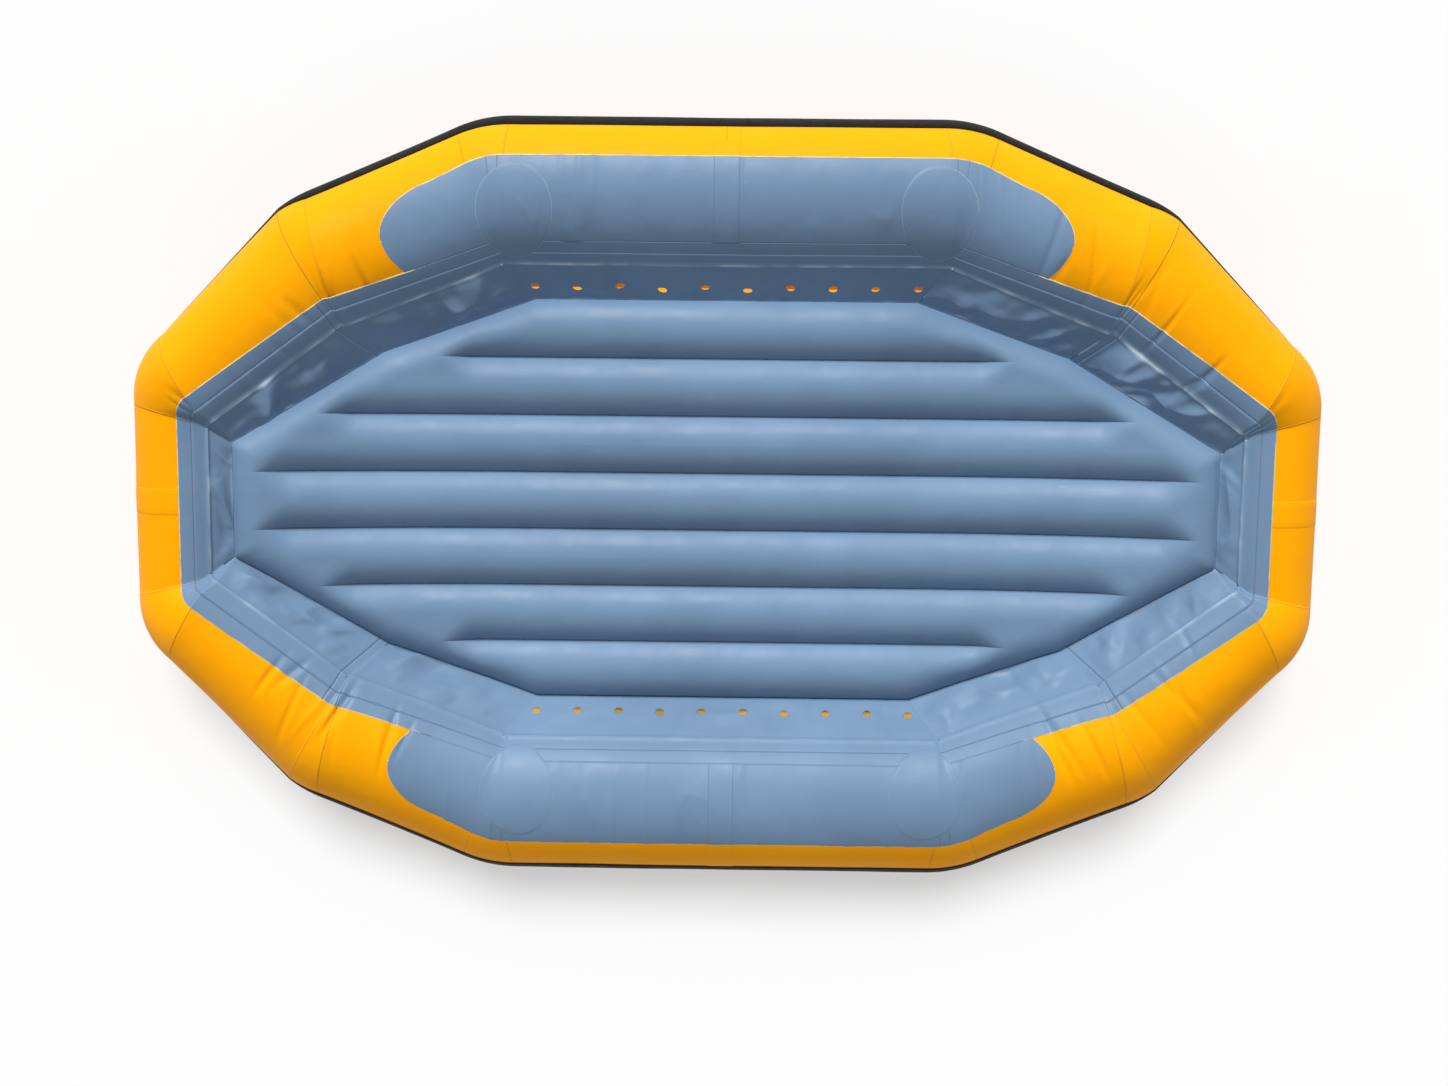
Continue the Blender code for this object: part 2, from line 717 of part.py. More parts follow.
def build_bulkheads():
    """Dished fabric walls that keep the four chambers apart."""
    places = {"port": (SIDE_MIDDLE, 1, 1), "starboard": (SIDE_MIDDLE, 1, -1),
              "bow": (END_MIDDLE, 1, 1), "stern": (END_MIDDLE, -1, 1)}
    for name, (row, sx, sy) in places.items():
        station = STATIONS[row]
        ring = section_points(station, -TUBE_WALL - CLEARANCE)
        along = np.array([1.0, 0.0, 0.0]) if row == SIDE_MIDDLE else np.array([0.0, 1.0, 0.0])
        centre = ring.mean(axis=0)
        rows_up, rows_low = [], []
        for share in BULKHEAD_RING_SHARES:
            dish = BULKHEAD_DISH * (1.0 - share * share)
            row_points = centre + (ring - centre) * share + along * (BULKHEAD_INSET + dish)
            rows_up.append(row_points)
            rows_low.append(row_points + along * BULKHEAD_THICKNESS)
        count = len(ring)
        points = np.concatenate(rows_up + rows_low + [
            [centre + along * (BULKHEAD_INSET + BULKHEAD_DISH)],
            [centre + along * (BULKHEAD_INSET + BULKHEAD_DISH + BULKHEAD_THICKNESS)]])
        rings = len(BULKHEAD_RING_SHARES)
        lower = rings * count
        tip_up, tip_low = 2 * lower, 2 * lower + 1
        faces = grid_faces(rings, count, 0, False, wrap=True)
        faces += grid_faces(rings, count, lower, True, wrap=True)
        for j in range(count):
            k = (j + 1) % count
            faces.append((lower - count + j, tip_up, lower - count + k))
            faces.append((tip_up - count + k, tip_low, tip_up - count + j))
            faces.append((j, k, lower + k))
            faces.append((j, lower + k, lower + j))
        solid_object(f"bulkhead_{name}", points * np.array([sx, sy, 1.0]), faces, tube_fabric())


def build_rub_strakes():
    """Black strakes on the outboard side of each side tube."""
    rows = span(SIDE_MIDDLE, END_BEND)
    columns = span(LINE["strake_low"], LINE["strake_high"])
    upper = across_side(patch_of_grid(quarter_grid(TRIM_LAYER + STRAKE_THICKNESS), rows, columns))
    lower = across_side(patch_of_grid(quarter_grid(TRIM_LAYER), rows, columns))
    for side, sign in SIDES.items():
        strake = sheet_solid(f"rub_strake_{side}", mirrored(upper, 1, sign), mirrored(lower, 1, sign),
                             strake_rubber(), "side")
        round_off(strake, TUBE_SHADE_ANGLE)


def pad_outline(sign):
    """Plan outline that gives a wear pad its round ends."""
    run = np.array([SHOULDER_X - SIDE_CORNER_X, SHOULDER_Y - SIDE_CORNER_Y])
    run /= np.linalg.norm(run)
    outward = np.array([-run[1], run[0]])
    bend = section_centre(STATIONS[SIDE_BEND + CORNER_STEPS["side"] // 2])[:2]
    centre = bend + run * PAD_REACH - outward * PAD_INSET
    half = []
    for step in range(PAD_END_STEPS + 1):
        angle = math.pi * (1.0 / 2.0 - step / PAD_END_STEPS)
        width = PAD_OUTBOARD_WIDTH if angle > 0.0 else PAD_INBOARD_WIDTH
        half.append(centre + PAD_END_LENGTH * math.cos(angle) * run + width * math.sin(angle) * outward)
    over = PAD_INBOARD_WIDTH * np.array([0.0, 1.0])
    half = [bend + over, *half, bend - over]
    other = [np.array([-x, y]) for x, y in reversed(half)]
    return [(x, sign * y) for x, y in half + other]


def pad_columns():
    """Columns of the tube between the pads' outboard edge and the bonded bands."""
    return span(LINE["pad_outer"], LINE["band_outer"] - clear_of(LINE["band_outer"] - 1))


def build_wear_pads():
    """Blue-grey pads on the upper inner side of each side tube."""
    rows = span(SIDE_MIDDLE, SHOULDER_BEND)
    columns = pad_columns()
    upper = across_side(patch_of_grid(quarter_grid(TRIM_LAYER + PAD_THICKNESS), rows, columns))
    lower = across_side(patch_of_grid(quarter_grid(TRIM_LAYER), rows, columns))
    high = 2.0 * SIDE_TUBE_RADIUS + CUT_OVERRUN
    for side, sign in SIDES.items():
        pad = sheet_solid(f"wear_pad_{side}", mirrored(upper, 1, sign), mirrored(lower, 1, sign),
                          pad_fabric(), "side")
        round_off(pad, TUBE_SHADE_ANGLE)
        outline = pad_outline(sign)
        boolean(pad, prism(f"cut_pad_{side}", outline, 0.0, high), "INTERSECT")


def build_patches():
    """Round patches over pad, band and flange, one at each side corner."""
    rows = span(SIDE_HALF, SIDE_BEND_END + 1)
    columns = span(LINE["pad_outer"], LINE["crease"])
    layers = [patch_of_grid(quarter_grid(height), rows, columns)
              for height in (PATCH_LAYER + PATCH_THICKNESS, PATCH_LAYER)]
    for name, (sx, sy) in QUARTERS.items():
        grids = [mirrored(g, sx, sy) for g in layers]
        patch = sheet_solid(f"corner_patch_{name}", *grids, pad_fabric())
        outline = []
        for step in range(PATCH_SIDES):
            angle = 2.0 * math.pi * step / PATCH_SIDES
            outline.append((sx * PATCH_X + PATCH_HALF_LENGTH * math.cos(angle),
                            sy * PATCH_Y + PATCH_HALF_WIDTH * math.sin(angle)))
        high = 2.0 * SIDE_TUBE_RADIUS + CUT_OVERRUN
        boolean(patch, prism(f"cut_patch_{name}", outline, 0.0, high), "INTERSECT")


def build_bands():
    """Bonded bands between pads or bare tube and the curtain's flange."""
    columns = span(LINE["band_outer"], LINE["flange_outer"] - clear_of(LINE["band_outer"]))
    upper, lower = quarter_grid(TRIM_LAYER + BAND_THICKNESS), quarter_grid(TRIM_LAYER)
    side_end, end_start = joint_rows()
    side_rows = span(SIDE_MIDDLE, side_end)
    end_rows = span(end_start, END_MIDDLE)
    for side, sign in SIDES.items():
        grids = [across_side(patch_of_grid(g, side_rows, columns)) for g in (upper, lower)]
        sheet_solid(f"bonded_band_{side}", *(mirrored(g, 1, sign) for g in grids), pad_fabric(), "side")
    for end, sign in ENDS.items():
        grids = [across_end(patch_of_grid(g, end_rows, columns)) for g in (upper, lower)]
        sheet_solid(f"bonded_band_{end}", *(mirrored(g, sign, 1) for g in grids), pad_fabric(), "end")


def curtain_grids():
    """Both faces of the curtain with its flange: flange edge, crease, foot."""
    tube_upper = quarter_grid(TRIM_LAYER + CURTAIN_THICKNESS)
    tube_lower = quarter_grid(TRIM_LAYER)
    columns = [LINE["flange_outer"], LINE["crease"]]
    feet_upper, feet_lower = [], []
    for station, top in zip(STATIONS, tube_upper):
        foot = station.foot
        height = floor_edge_height(foot[0])
        feet_upper.append([foot[0], foot[1], height])
        lean = math.pi - station.lines()[LINE["crease"]] + math.radians(CURTAIN_LEAN)
        thickness = CURTAIN_THICKNESS / math.cos(lean)
        outward = foot_normal(station)
        feet_lower.append([foot[0] + thickness * outward[0], foot[1] + thickness * outward[1], height])
    grids = []
    for tube, feet in ((tube_upper, feet_upper), (tube_lower, feet_lower)):
        part = tube[:, columns, :]
        grids.append(np.concatenate([part, np.array(feet)[:, None, :]], axis=1))
    return grids


def foot_facings():
    """Outward directions of the floor's four edges in the first quarter."""
    side, shoulder, end = foot_corners()
    return [math.pi / 2.0, facing_between(side, shoulder), facing_between(shoulder, end), 0.0]


def mitre(facing_a, facing_b):
    """Plan step outboard that moves both edges at a corner out by one unit."""
    normals = [np.array([math.cos(a), math.sin(a)]) for a in (facing_a, facing_b)]
    return (normals[0] + normals[1]) / (1.0 + normals[0] @ normals[1])


def foot_normal(station):
    """Outward step of the curtain's foot line at a station, mitred at corners."""
    facings = foot_facings()
    for i, corner in enumerate(foot_corners()):
        if np.allclose(station.foot, corner):
            return mitre(facings[i], facings[i + 1])
        if station.foot[0] < corner[0] - MERGE_DISTANCE:
            return mitre(facings[i], facings[i])
    return mitre(facings[-1], facings[-1])


def build_curtains():
    """Fabric curtains between tubes and floor, with drain holes on both sides."""
    upper, lower = curtain_grids()
    columns = range(upper.shape[1])
    side_end, end_start = joint_rows()
    side_rows = span(SIDE_MIDDLE, side_end)
    end_rows = span(end_start, END_MIDDLE)
    for side, sign in SIDES.items():
        grids = [across_side(patch_of_grid(g, side_rows, columns)) for g in (upper, lower)]
        curtain = sheet_solid(f"curtain_{side}", *(mirrored(g, 1, sign) for g in grids), pad_fabric(),
                              "side", MERGE_DISTANCE)
        boolean(curtain, drain_hole_cutter(side, sign, upper[SIDE_MIDDLE]))
    for end, sign in ENDS.items():
        grids = [across_end(patch_of_grid(g, end_rows, columns)) for g in (upper, lower)]
        sheet_solid(f"curtain_{end}", *(mirrored(g, sign, 1) for g in grids), pad_fabric(),
                    "end", MERGE_DISTANCE)


def drain_hole_cutter(side, sign, section):
    """Row of round cutters square to the curtain."""
    crease, foot = section[1], section[2]
    run = foot - crease
    middle = crease + run * DRAIN_HOLE_DEPTH_SHARE
    normal = np.array([0.0, -run[2], run[1]]) / np.linalg.norm(run[1:])
    across = np.array([1.0, 0.0, 0.0])
    down = run / np.linalg.norm(run)
    points, faces = [], []
    for hole in range(DRAIN_HOLES):
        x = (hole - (DRAIN_HOLES - 1) / 2.0) * DRAIN_HOLE_PITCH
        centre = np.array([x, middle[1], middle[2]])
        start = len(points)
        for level in (-1.0, 1.0):
            for step in range(HOLE_SIDES):
                angle = 2.0 * math.pi * step / HOLE_SIDES
                ring = DRAIN_HOLE_RADIUS * (math.cos(angle) * across + math.sin(angle) * down)
                points.append(centre + ring + normal * level * CUT_OVERRUN)
        low = list(range(start, start + HOLE_SIDES))
        high = [i + HOLE_SIDES for i in low]
        faces += [tuple(reversed(low)), tuple(high)]
        for i in range(HOLE_SIDES):
            j = (i + 1) % HOLE_SIDES
            faces.append((low[i], low[j], high[j], high[i]))
    points = np.array(points) * np.array([1.0, sign, 1.0])
    return solid_object(f"cut_drain_{side}", points, faces, pad_fabric())


def foot_corners():
    """The floor's plan corners in the first quarter: side, shoulder and end."""
    return [STATIONS[i].foot for i in (SIDE_BEND, SHOULDER_BEND, END_BEND)]


def inset_corners(distance):
    """The plan corners moved in from all three edges by a distance."""
    facings = foot_facings()
    return [corner - mitre(facings[i], facings[i + 1]) * distance
            for i, corner in enumerate(foot_corners())]


def ring_outline(distance):
    """Whole plan outline of the floor, inset by a distance."""
    side, shoulder, end = inset_corners(distance)
    quarter = [side, shoulder, end]
    outline = [(x, y) for x, y in quarter]
    outline += [(x, -y) for x, y in reversed(quarter)]
    outline += [(-x, -y) for x, y in quarter]
    outline += [(-x, y) for x, y in reversed(quarter)]
    return outline


def edge_distance(x, y):
    """Distance from a point of the first quarter to the floor's outline."""
    side, shoulder, end = inset_corners(0.0)
    distance = np.minimum(side[1] - y, end[0] - x)
    for a, b in ((side, shoulder), (shoulder, end)):
        facing = facing_between(a, b)
        distance = np.minimum(distance, (a[0] - x) * math.cos(facing) + (a[1] - y) * math.sin(facing))
    return np.maximum(distance, 0.0)


def channel_pitch():
    """Width of one floor channel."""
    return 2.0 * foot_corners()[0][1] / FLOOR_CHANNELS


def seam_half_lengths():
    """Half length of each seam line from port to starboard."""
    lengths = [OUTER_SEAM_HALF_LENGTH, MIDDLE_SEAM_HALF_LENGTH, INNER_SEAM_HALF_LENGTH]
    return lengths + lengths[::-1]


def crown_height(x, y):
    """Height of the inflated crown over the seam lines at points of the floor."""
    pitch = channel_pitch()
    place = y / pitch + FLOOR_CHANNELS / 2.0
    valley = 1.0 - np.sqrt(np.clip(1.0 - (2.0 * (place % 1.0) - 1.0) ** 2, 0.0, 1.0))
    nearest = np.clip(np.round(place).astype(int), 0, FLOOR_CHANNELS)
    reach = np.array([0.0] + seam_half_lengths() + [0.0])[nearest]
    depth = np.clip(1.0 - (np.abs(x) - reach) / SEAM_FADE, 0.0, 1.0)
    fall = np.clip(edge_distance(np.abs(x), np.abs(y)) / EDGE_FALL_WIDTH, 0.0, 1.0)
    return CHANNEL_CROWN * (1.0 - valley * depth) * np.sin(fall * math.pi / 2.0)


def floor_rows():
    """Distances from mid length at which the floor's skins have points."""
    ends = [OUTER_SEAM_HALF_LENGTH, MIDDLE_SEAM_HALF_LENGTH, INNER_SEAM_HALF_LENGTH]
    tip = foot_corners()[2][0]
    marks = [RISE_START, (ends[0] + ends[1]) / 2.0, ends[0], ends[0] + SEAM_FADE, ends[1],
             ends[1] + SEAM_FADE, ends[2], tip + CUT_OVERRUN]
    marks = sorted(marks)
    return [-m for m in reversed(marks)] + [0.0] + marks


def floor_grid(shares, sign):
    """Grid of one floor skin, crowned up or down from its seam lines."""
    pitch = channel_pitch()
    middles = np.arange(FLOOR_CHANNELS) - (FLOOR_CHANNELS - 1) / 2.0
    y = (middles[:, None] + np.asarray(shares)).ravel() * pitch
    y = np.append(y, FLOOR_CHANNELS / 2.0 * pitch)
    y[0] -= CUT_OVERRUN
    y[-1] += CUT_OVERRUN
    x = np.array(floor_rows())
    gx, gy = np.meshgrid(x, y, indexing="ij")
    base = floor_edge_height(gx) - (0.0 if sign > 0 else FLOOR_DEPTH)
    inner = np.clip(gy, -FLOOR_CHANNELS / 2.0 * pitch, FLOOR_CHANNELS / 2.0 * pitch)
    return np.stack([gx, gy, base + sign * crown_height(gx, inner)], axis=-1)


def build_floor_skins():
    """Upper and lower skin of the inflated floor, seven channels wide."""
    wall = FLOOR_SKIN + 2.0 * CLEARANCE
    tall = floor_edge_height(END_CORNER_X) + 2.0 * CHANNEL_CROWN + CUT_OVERRUN
    flat_share = flat_crown_half_width() / channel_pitch()
    skins = (("floor_top_skin", TOP_CHANNEL_SHARES, 1.0),
             ("floor_bottom_skin", (SEAM_SHARE, -flat_share, flat_share), -1.0))
    for name, shares, sign in skins:
        outside = floor_grid(shares, sign)
        inside = outside - np.array([0.0, 0.0, sign * FLOOR_SKIN])
        skin = sheet_solid(name, outside, inside, pad_fabric())
        round_off(skin, SKIN_SHADE_ANGLE)
        cutter = prism(f"cut_{name}", ring_outline(wall), 0.0, tall)
        boolean(skin, cutter, "INTERSECT")
        if sign < 0:
            for label, x, radius in (("valve", FLOOR_VALVE_X, VALVE_BARREL_RADIUS),
                                     ("relief", RELIEF_X, RELIEF_BARREL_RADIUS)):
                boolean(skin, drill(f"cut_floor_{label}", radius + CLEARANCE, CUT_OVERRUN, -CUT_OVERRUN,
                                    floor_fitting_matrix(x)))


def wall_rows():
    """Plan points round the floor where its wall has corners or bends with it."""
    rows = []
    for distance in (CLEARANCE, CLEARANCE + FLOOR_SKIN):
        side, shoulder, end = inset_corners(distance)
        quarter = [np.array([0.0, side[1]]), side]
        for a, b, shares in ((side, shoulder, SHOULDER_RUN_SHARES), (shoulder, end, END_RUN_SHARES)):
            quarter += [a * (1.0 - share) + b * share for share in (*shares, 1.0)]
        quarter.append(np.array([end[0], 0.0]))
        first = np.array(quarter)
        bow = np.concatenate([first, (first * np.array([1.0, -1.0]))[::-1][1:]])
        stern = (bow * np.array([-1.0, 1.0]))[::-1][1:-1]
        rows.append(np.concatenate([bow, stern]))
    return rows


def build_floor_wall():
    """Upright wall round the floor that joins its two skins."""
    outer, inner = wall_rows()
    count = len(outer)
    points = []
    for plan in (outer, inner):
        height = floor_edge_height(plan[:, 0])
        for drop in (0.0, FLOOR_DEPTH):
            points.append(np.column_stack([plan, height - drop]))
    points = np.concatenate(points)
    top_out, low_out, top_in, low_in = (range(k * count, (k + 1) * count) for k in range(4))
    faces = []
    for i in range(count):
        j = (i + 1) % count
        faces.append((low_out[i], top_out[i], top_out[j], low_out[j]))
        faces.append((top_in[i], low_in[i], low_in[j], top_in[j]))
        faces.append((top_out[i], top_in[i], top_in[j], top_out[j]))
        faces.append((low_in[i], low_out[i], low_out[j], low_in[j]))
    solid_object("floor_side_wall", points, faces, pad_fabric())


def build_floor_webs():
    """Upright webs inside the floor, one under each seam line."""
    pitch = channel_pitch()
    inset = FLOOR_SKIN + CLEARANCE
    for index, reach in enumerate(seam_half_lengths()):
        y = (FLOOR_CHANNELS / 2.0 - 1.0 - index) * pitch
        rows = [x for x in floor_rows() if abs(x) < reach] + [-reach, reach]
        x = np.array(sorted(set(rows)))
        high = floor_edge_height(x) - inset
        low = floor_edge_height(x) - FLOOR_DEPTH + inset
        faces_of = []
        for shift in (-WEB_THICKNESS / 2.0, WEB_THICKNESS / 2.0):
            side = np.full_like(x, y + shift)
            edges = [np.column_stack([x, side, height]) for height in (low, high)]
            faces_of.append(np.stack(edges, axis=1))
        sheet_solid(f"floor_web_{index + 1}", faces_of[1], faces_of[0], pad_fabric())


def build_valve(name, matrix):
    """Inflation valve: body with seat and bridge, sprung plunger, turning cap."""
    seat_top = -VALVE_BARREL_DEPTH + VALVE_SEAT_THICKNESS
    body = turned(f"valve_body_{name}", [
        (VALVE_FLANGE_RADIUS, CLEARANCE), (VALVE_FLANGE_RADIUS, VALVE_FLANGE_THICKNESS),
        (VALVE_COLLAR_RADIUS, VALVE_FLANGE_THICKNESS), (VALVE_COLLAR_RADIUS, VALVE_COLLAR_HEIGHT),
        (VALVE_BORE_RADIUS, VALVE_COLLAR_HEIGHT), (VALVE_BORE_RADIUS, seat_top),
        (VALVE_SEAT_RADIUS, seat_top), (VALVE_SEAT_RADIUS, -VALVE_BARREL_DEPTH),
        (VALVE_BARREL_RADIUS, -VALVE_BARREL_DEPTH), (VALVE_BARREL_RADIUS, CLEARANCE)],
        valve_plastic(), matrix)
    wall_bite = (VALVE_BARREL_RADIUS - VALVE_BORE_RADIUS) / 2.0
    bridge_centre = VALVE_BRIDGE_TOP - VALVE_BRIDGE_THICKNESS / 2.0
    bridge_size = (2.0 * (VALVE_BORE_RADIUS + wall_bite), VALVE_BRIDGE_WIDTH, VALVE_BRIDGE_THICKNESS)
    bridge = box_cutter(f"cut_bridge_{name}", bridge_size, (0.0, 0.0, bridge_centre), matrix)
    boolean(body, bridge, "UNION")
    guide = VALVE_STEM_RADIUS + CLEARANCE
    guide_low = bridge_centre - VALVE_BRIDGE_THICKNESS
    guide_high = bridge_centre + VALVE_BRIDGE_THICKNESS
    boolean(body, drill(f"cut_guide_{name}", guide, guide_high, guide_low, matrix))
    button_top = VALVE_BRIDGE_TOP + VALVE_TRAVEL + VALVE_BUTTON_THICKNESS + 2.0 * CLEARANCE
    button_low = button_top - VALVE_BUTTON_THICKNESS
    disc_top = -VALVE_BARREL_DEPTH - CLEARANCE
    plunger = turned(f"valve_plunger_{name}", [
        (0.0, button_top), (VALVE_BUTTON_RADIUS, button_top), (VALVE_BUTTON_RADIUS, button_low),
        (VALVE_STEM_RADIUS, button_low), (VALVE_STEM_RADIUS, disc_top), (VALVE_DISC_RADIUS, disc_top),
        (VALVE_DISC_RADIUS, disc_top - VALVE_DISC_THICKNESS), (0.0, disc_top - VALVE_DISC_THICKNESS)],
        valve_plastic(), matrix)
    skirt_inner = (VALVE_COLLAR_RADIUS + CLEARANCE) / math.cos(math.pi / ROUND_SIDES)
    lid = VALVE_COLLAR_HEIGHT + CLEARANCE
    cap = turned(f"valve_cap_{name}", [
        (0.0, lid + CAP_WALL), (skirt_inner + CAP_WALL, lid + CAP_WALL),
        (skirt_inner + CAP_WALL, VALVE_FLANGE_THICKNESS + CLEARANCE),
        (skirt_inner, VALVE_FLANGE_THICKNESS + CLEARANCE), (skirt_inner, lid), (0.0, lid)],
        valve_plastic(), matrix)
    bite = CAP_WALL / 2.0
    grip = box_cutter(f"cut_grip_{name}", (CAP_GRIP_LENGTH, CAP_GRIP_WIDTH, CAP_GRIP_HEIGHT + bite),
                      (0.0, 0.0, lid + CAP_WALL + (CAP_GRIP_HEIGHT - bite) / 2.0), matrix)
    boolean(cap, grip, "UNION")


def build_relief_valve():
    """Pressure relief valve of the floor: body and a poppet that lifts off it."""
    matrix = floor_fitting_matrix(RELIEF_X)
    body = turned("relief_valve_body", [
        (RELIEF_FLANGE_RADIUS, CLEARANCE), (RELIEF_FLANGE_RADIUS, RELIEF_FLANGE_THICKNESS),
        (RELIEF_BORE_RADIUS, RELIEF_FLANGE_THICKNESS), (RELIEF_BORE_RADIUS, -RELIEF_BARREL_DEPTH),
        (RELIEF_BARREL_RADIUS, -RELIEF_BARREL_DEPTH), (RELIEF_BARREL_RADIUS, CLEARANCE)],
        valve_plastic(), matrix)
    wall_bite = (RELIEF_BARREL_RADIUS - RELIEF_BORE_RADIUS) / 2.0
    bridge_low = -RELIEF_BARREL_DEPTH / 2.0
    bridge_size = (2.0 * (RELIEF_BORE_RADIUS + wall_bite), RELIEF_BRIDGE_WIDTH, RELIEF_BRIDGE_THICKNESS)
    bridge_centre = (0.0, 0.0, bridge_low + RELIEF_BRIDGE_THICKNESS / 2.0)
    boolean(body, box_cutter("cut_relief_bridge", bridge_size, bridge_centre, matrix), "UNION")
    guide = RELIEF_STEM_RADIUS + CLEARANCE
    boolean(body, drill("cut_relief_guide", guide, bridge_low + 2.0 * RELIEF_BRIDGE_THICKNESS,
                        bridge_low - RELIEF_BRIDGE_THICKNESS, matrix))
    head_low = RELIEF_FLANGE_THICKNESS + CLEARANCE
    nut_top = bridge_low - RELIEF_TRAVEL - 2.0 * CLEARANCE
    turned("relief_poppet", [
        (0.0, head_low + RELIEF_HEAD_THICKNESS), (RELIEF_HEAD_RADIUS, head_low + RELIEF_HEAD_THICKNESS),
        (RELIEF_HEAD_RADIUS, head_low), (RELIEF_STEM_RADIUS, head_low), (RELIEF_STEM_RADIUS, nut_top),
        (RELIEF_NUT_RADIUS, nut_top), (RELIEF_NUT_RADIUS, nut_top - RELIEF_NUT_THICKNESS),
        (0.0, nut_top - RELIEF_NUT_THICKNESS)], valve_plastic(), matrix)


def build_raft():
    """Build every piece of the raft."""
    build_chambers()
    build_seam_tapes()
    build_keel_strips()
    build_bulkheads()
    build_rub_strakes()
    build_wear_pads()
    build_patches()
    build_bands()
    build_curtains()
    build_floor_skins()
    build_floor_wall()
    build_floor_webs()
    for name, signs in QUARTERS.items():
        build_valve(name, chamber_valve_matrix(*signs))
    build_valve("floor", floor_fitting_matrix(FLOOR_VALVE_X))
    build_relief_valve()


clear_scene()
build_raft()
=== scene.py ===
"""Looks of the self-bailing inflatable raft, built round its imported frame.

Metres, +X to the bow, +Y to port, +Z up, origin on the ground under mid length.
Every soft surface is a formula on a grid: a place along the buoyancy ring times
an angle round the tube, or a share along times a share across the air floor.
"""
import json
import logging
import math
from dataclasses import dataclass, field
from enum import Enum

import bmesh
import bpy
import numpy as np
from mathutils import Euler, Matrix, Vector

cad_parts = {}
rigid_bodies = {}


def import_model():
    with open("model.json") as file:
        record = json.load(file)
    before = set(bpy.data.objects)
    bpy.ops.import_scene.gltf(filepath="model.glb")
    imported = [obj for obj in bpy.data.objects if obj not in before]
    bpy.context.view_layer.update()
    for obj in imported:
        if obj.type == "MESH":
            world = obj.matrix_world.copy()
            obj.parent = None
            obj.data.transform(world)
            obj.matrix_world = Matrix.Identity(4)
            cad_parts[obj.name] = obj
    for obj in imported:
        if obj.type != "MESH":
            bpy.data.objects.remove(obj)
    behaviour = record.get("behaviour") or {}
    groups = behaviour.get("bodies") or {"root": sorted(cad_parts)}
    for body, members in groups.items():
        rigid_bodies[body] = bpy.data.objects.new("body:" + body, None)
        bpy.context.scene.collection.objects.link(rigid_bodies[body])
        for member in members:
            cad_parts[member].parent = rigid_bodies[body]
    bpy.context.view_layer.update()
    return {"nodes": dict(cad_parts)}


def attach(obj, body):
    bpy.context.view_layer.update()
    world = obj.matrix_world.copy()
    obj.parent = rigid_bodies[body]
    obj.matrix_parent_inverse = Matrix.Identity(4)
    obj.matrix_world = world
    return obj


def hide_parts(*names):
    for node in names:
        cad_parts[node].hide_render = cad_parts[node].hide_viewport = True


LOG = logging.getLogger("raft")
BODY = "raft"
SEGMENTS = 7  # straight, bend, run, bend, run, bend and straight of a quarter
FULL_RING = 4 * SEGMENTS
BENDS = tuple(range(1, SEGMENTS))  # where the bends of a quarter start and end
MIDDLES = {"port": 0.0, "bow": 1.0 * SEGMENTS, "starboard": 2.0 * SEGMENTS, "stern": 3.0 * SEGMENTS}
Array = np.ndarray
Piece = bpy.types.Object
Corners = list[tuple[float, float]]
HAIR = 1e-6            # places closer than this are the same
MARK_REACH = 0.02      # metres over which the mark of a line fades
BONDED_GAP = 0.0003    # between bonded pieces that lie edge to edge


class Named(Enum):
    """Options whose names stand in the names of pieces."""

    @property
    def label(self) -> str:
        """Name in small letters."""
        return self.name.lower()


class Side(Named):
    """The two long sides, with the sign of their Y."""

    PORT = 1.0
    STARBOARD = -1.0

    @property
    def middle(self) -> float:
        """Place of mid side along the ring."""
        return MIDDLES[self.label]


class End(Named):
    """The two ends, with the sign of their X."""

    BOW = 1.0
    STERN = -1.0


class Quarter(Named):
    """The four quarters: signs of X and Y."""

    BOW_PORT = (1.0, 1.0)
    BOW_STARBOARD = (1.0, -1.0)
    STERN_STARBOARD = (-1.0, -1.0)
    STERN_PORT = (-1.0, 1.0)

    def place(self, first: Array) -> Array:
        """Places along the ring that mirror places of the first quarter."""
        x, y = self.value
        return (0.0 if y > 0.0 else 2.0 * SEGMENTS) + x * y * first


class Line(Enum):
    """Lines along the tube that pieces start or end at."""

    STRAKE_LOW = 0
    STRAKE_HIGH = 1
    PAD_OUTER = 2
    BAND_OUTER = 3
    FLANGE_OUTER = 4
    CREASE = 5


def smooth_step(value: Array, low: float, high: float) -> Array:
    """Rise from 0 at low to 1 at high as 3t^2 - 2t^3."""
    share = np.clip((value - low) / (high - low), 0.0, 1.0)
    return share * share * (3.0 - 2.0 * share)


def bell(value: Array, width: float) -> Array:
    """Bell curve exp(-(value / width)^2)."""
    return np.exp(-((value / width) ** 2))


def blend(first: Array | float, last: Array | float, share: Array) -> Array:
    """Mix of two values: the first at share 0, the last at share 1."""
    return first * (1.0 - share) + last * share


def lattice_noise(x: Array, y: Array, seed: int) -> Array:
    """Value noise from -1 to 1: random lattice numbers joined by quintic steps.

    Args:
        x: First coordinate, one lattice cell per unit.
        y: Second coordinate.
        seed: Number that fixes the lattice.

    Returns:
        Noise with the shape of x and y.
    """
    size = 128
    lattice = np.random.default_rng(seed).uniform(-1.0, 1.0, (size, size))
    x, y = np.broadcast_arrays(x, y)
    cell_x, cell_y = np.floor(x).astype(int), np.floor(y).astype(int)
    part_x, part_y = x - cell_x, y - cell_y
    part_x = part_x ** 3 * (part_x * (part_x * 6.0 - 15.0) + 10.0)
    part_y = part_y ** 3 * (part_y * (part_y * 6.0 - 15.0) + 10.0)
    low_x, low_y = cell_x % size, cell_y % size
    high_x, high_y = (cell_x + 1) % size, (cell_y + 1) % size
    near = lattice[low_x, low_y] * (1.0 - part_x) + lattice[high_x, low_y] * part_x
    far = lattice[low_x, high_y] * (1.0 - part_x) + lattice[high_x, high_y] * part_x
    return near * (1.0 - part_y) + far * part_y


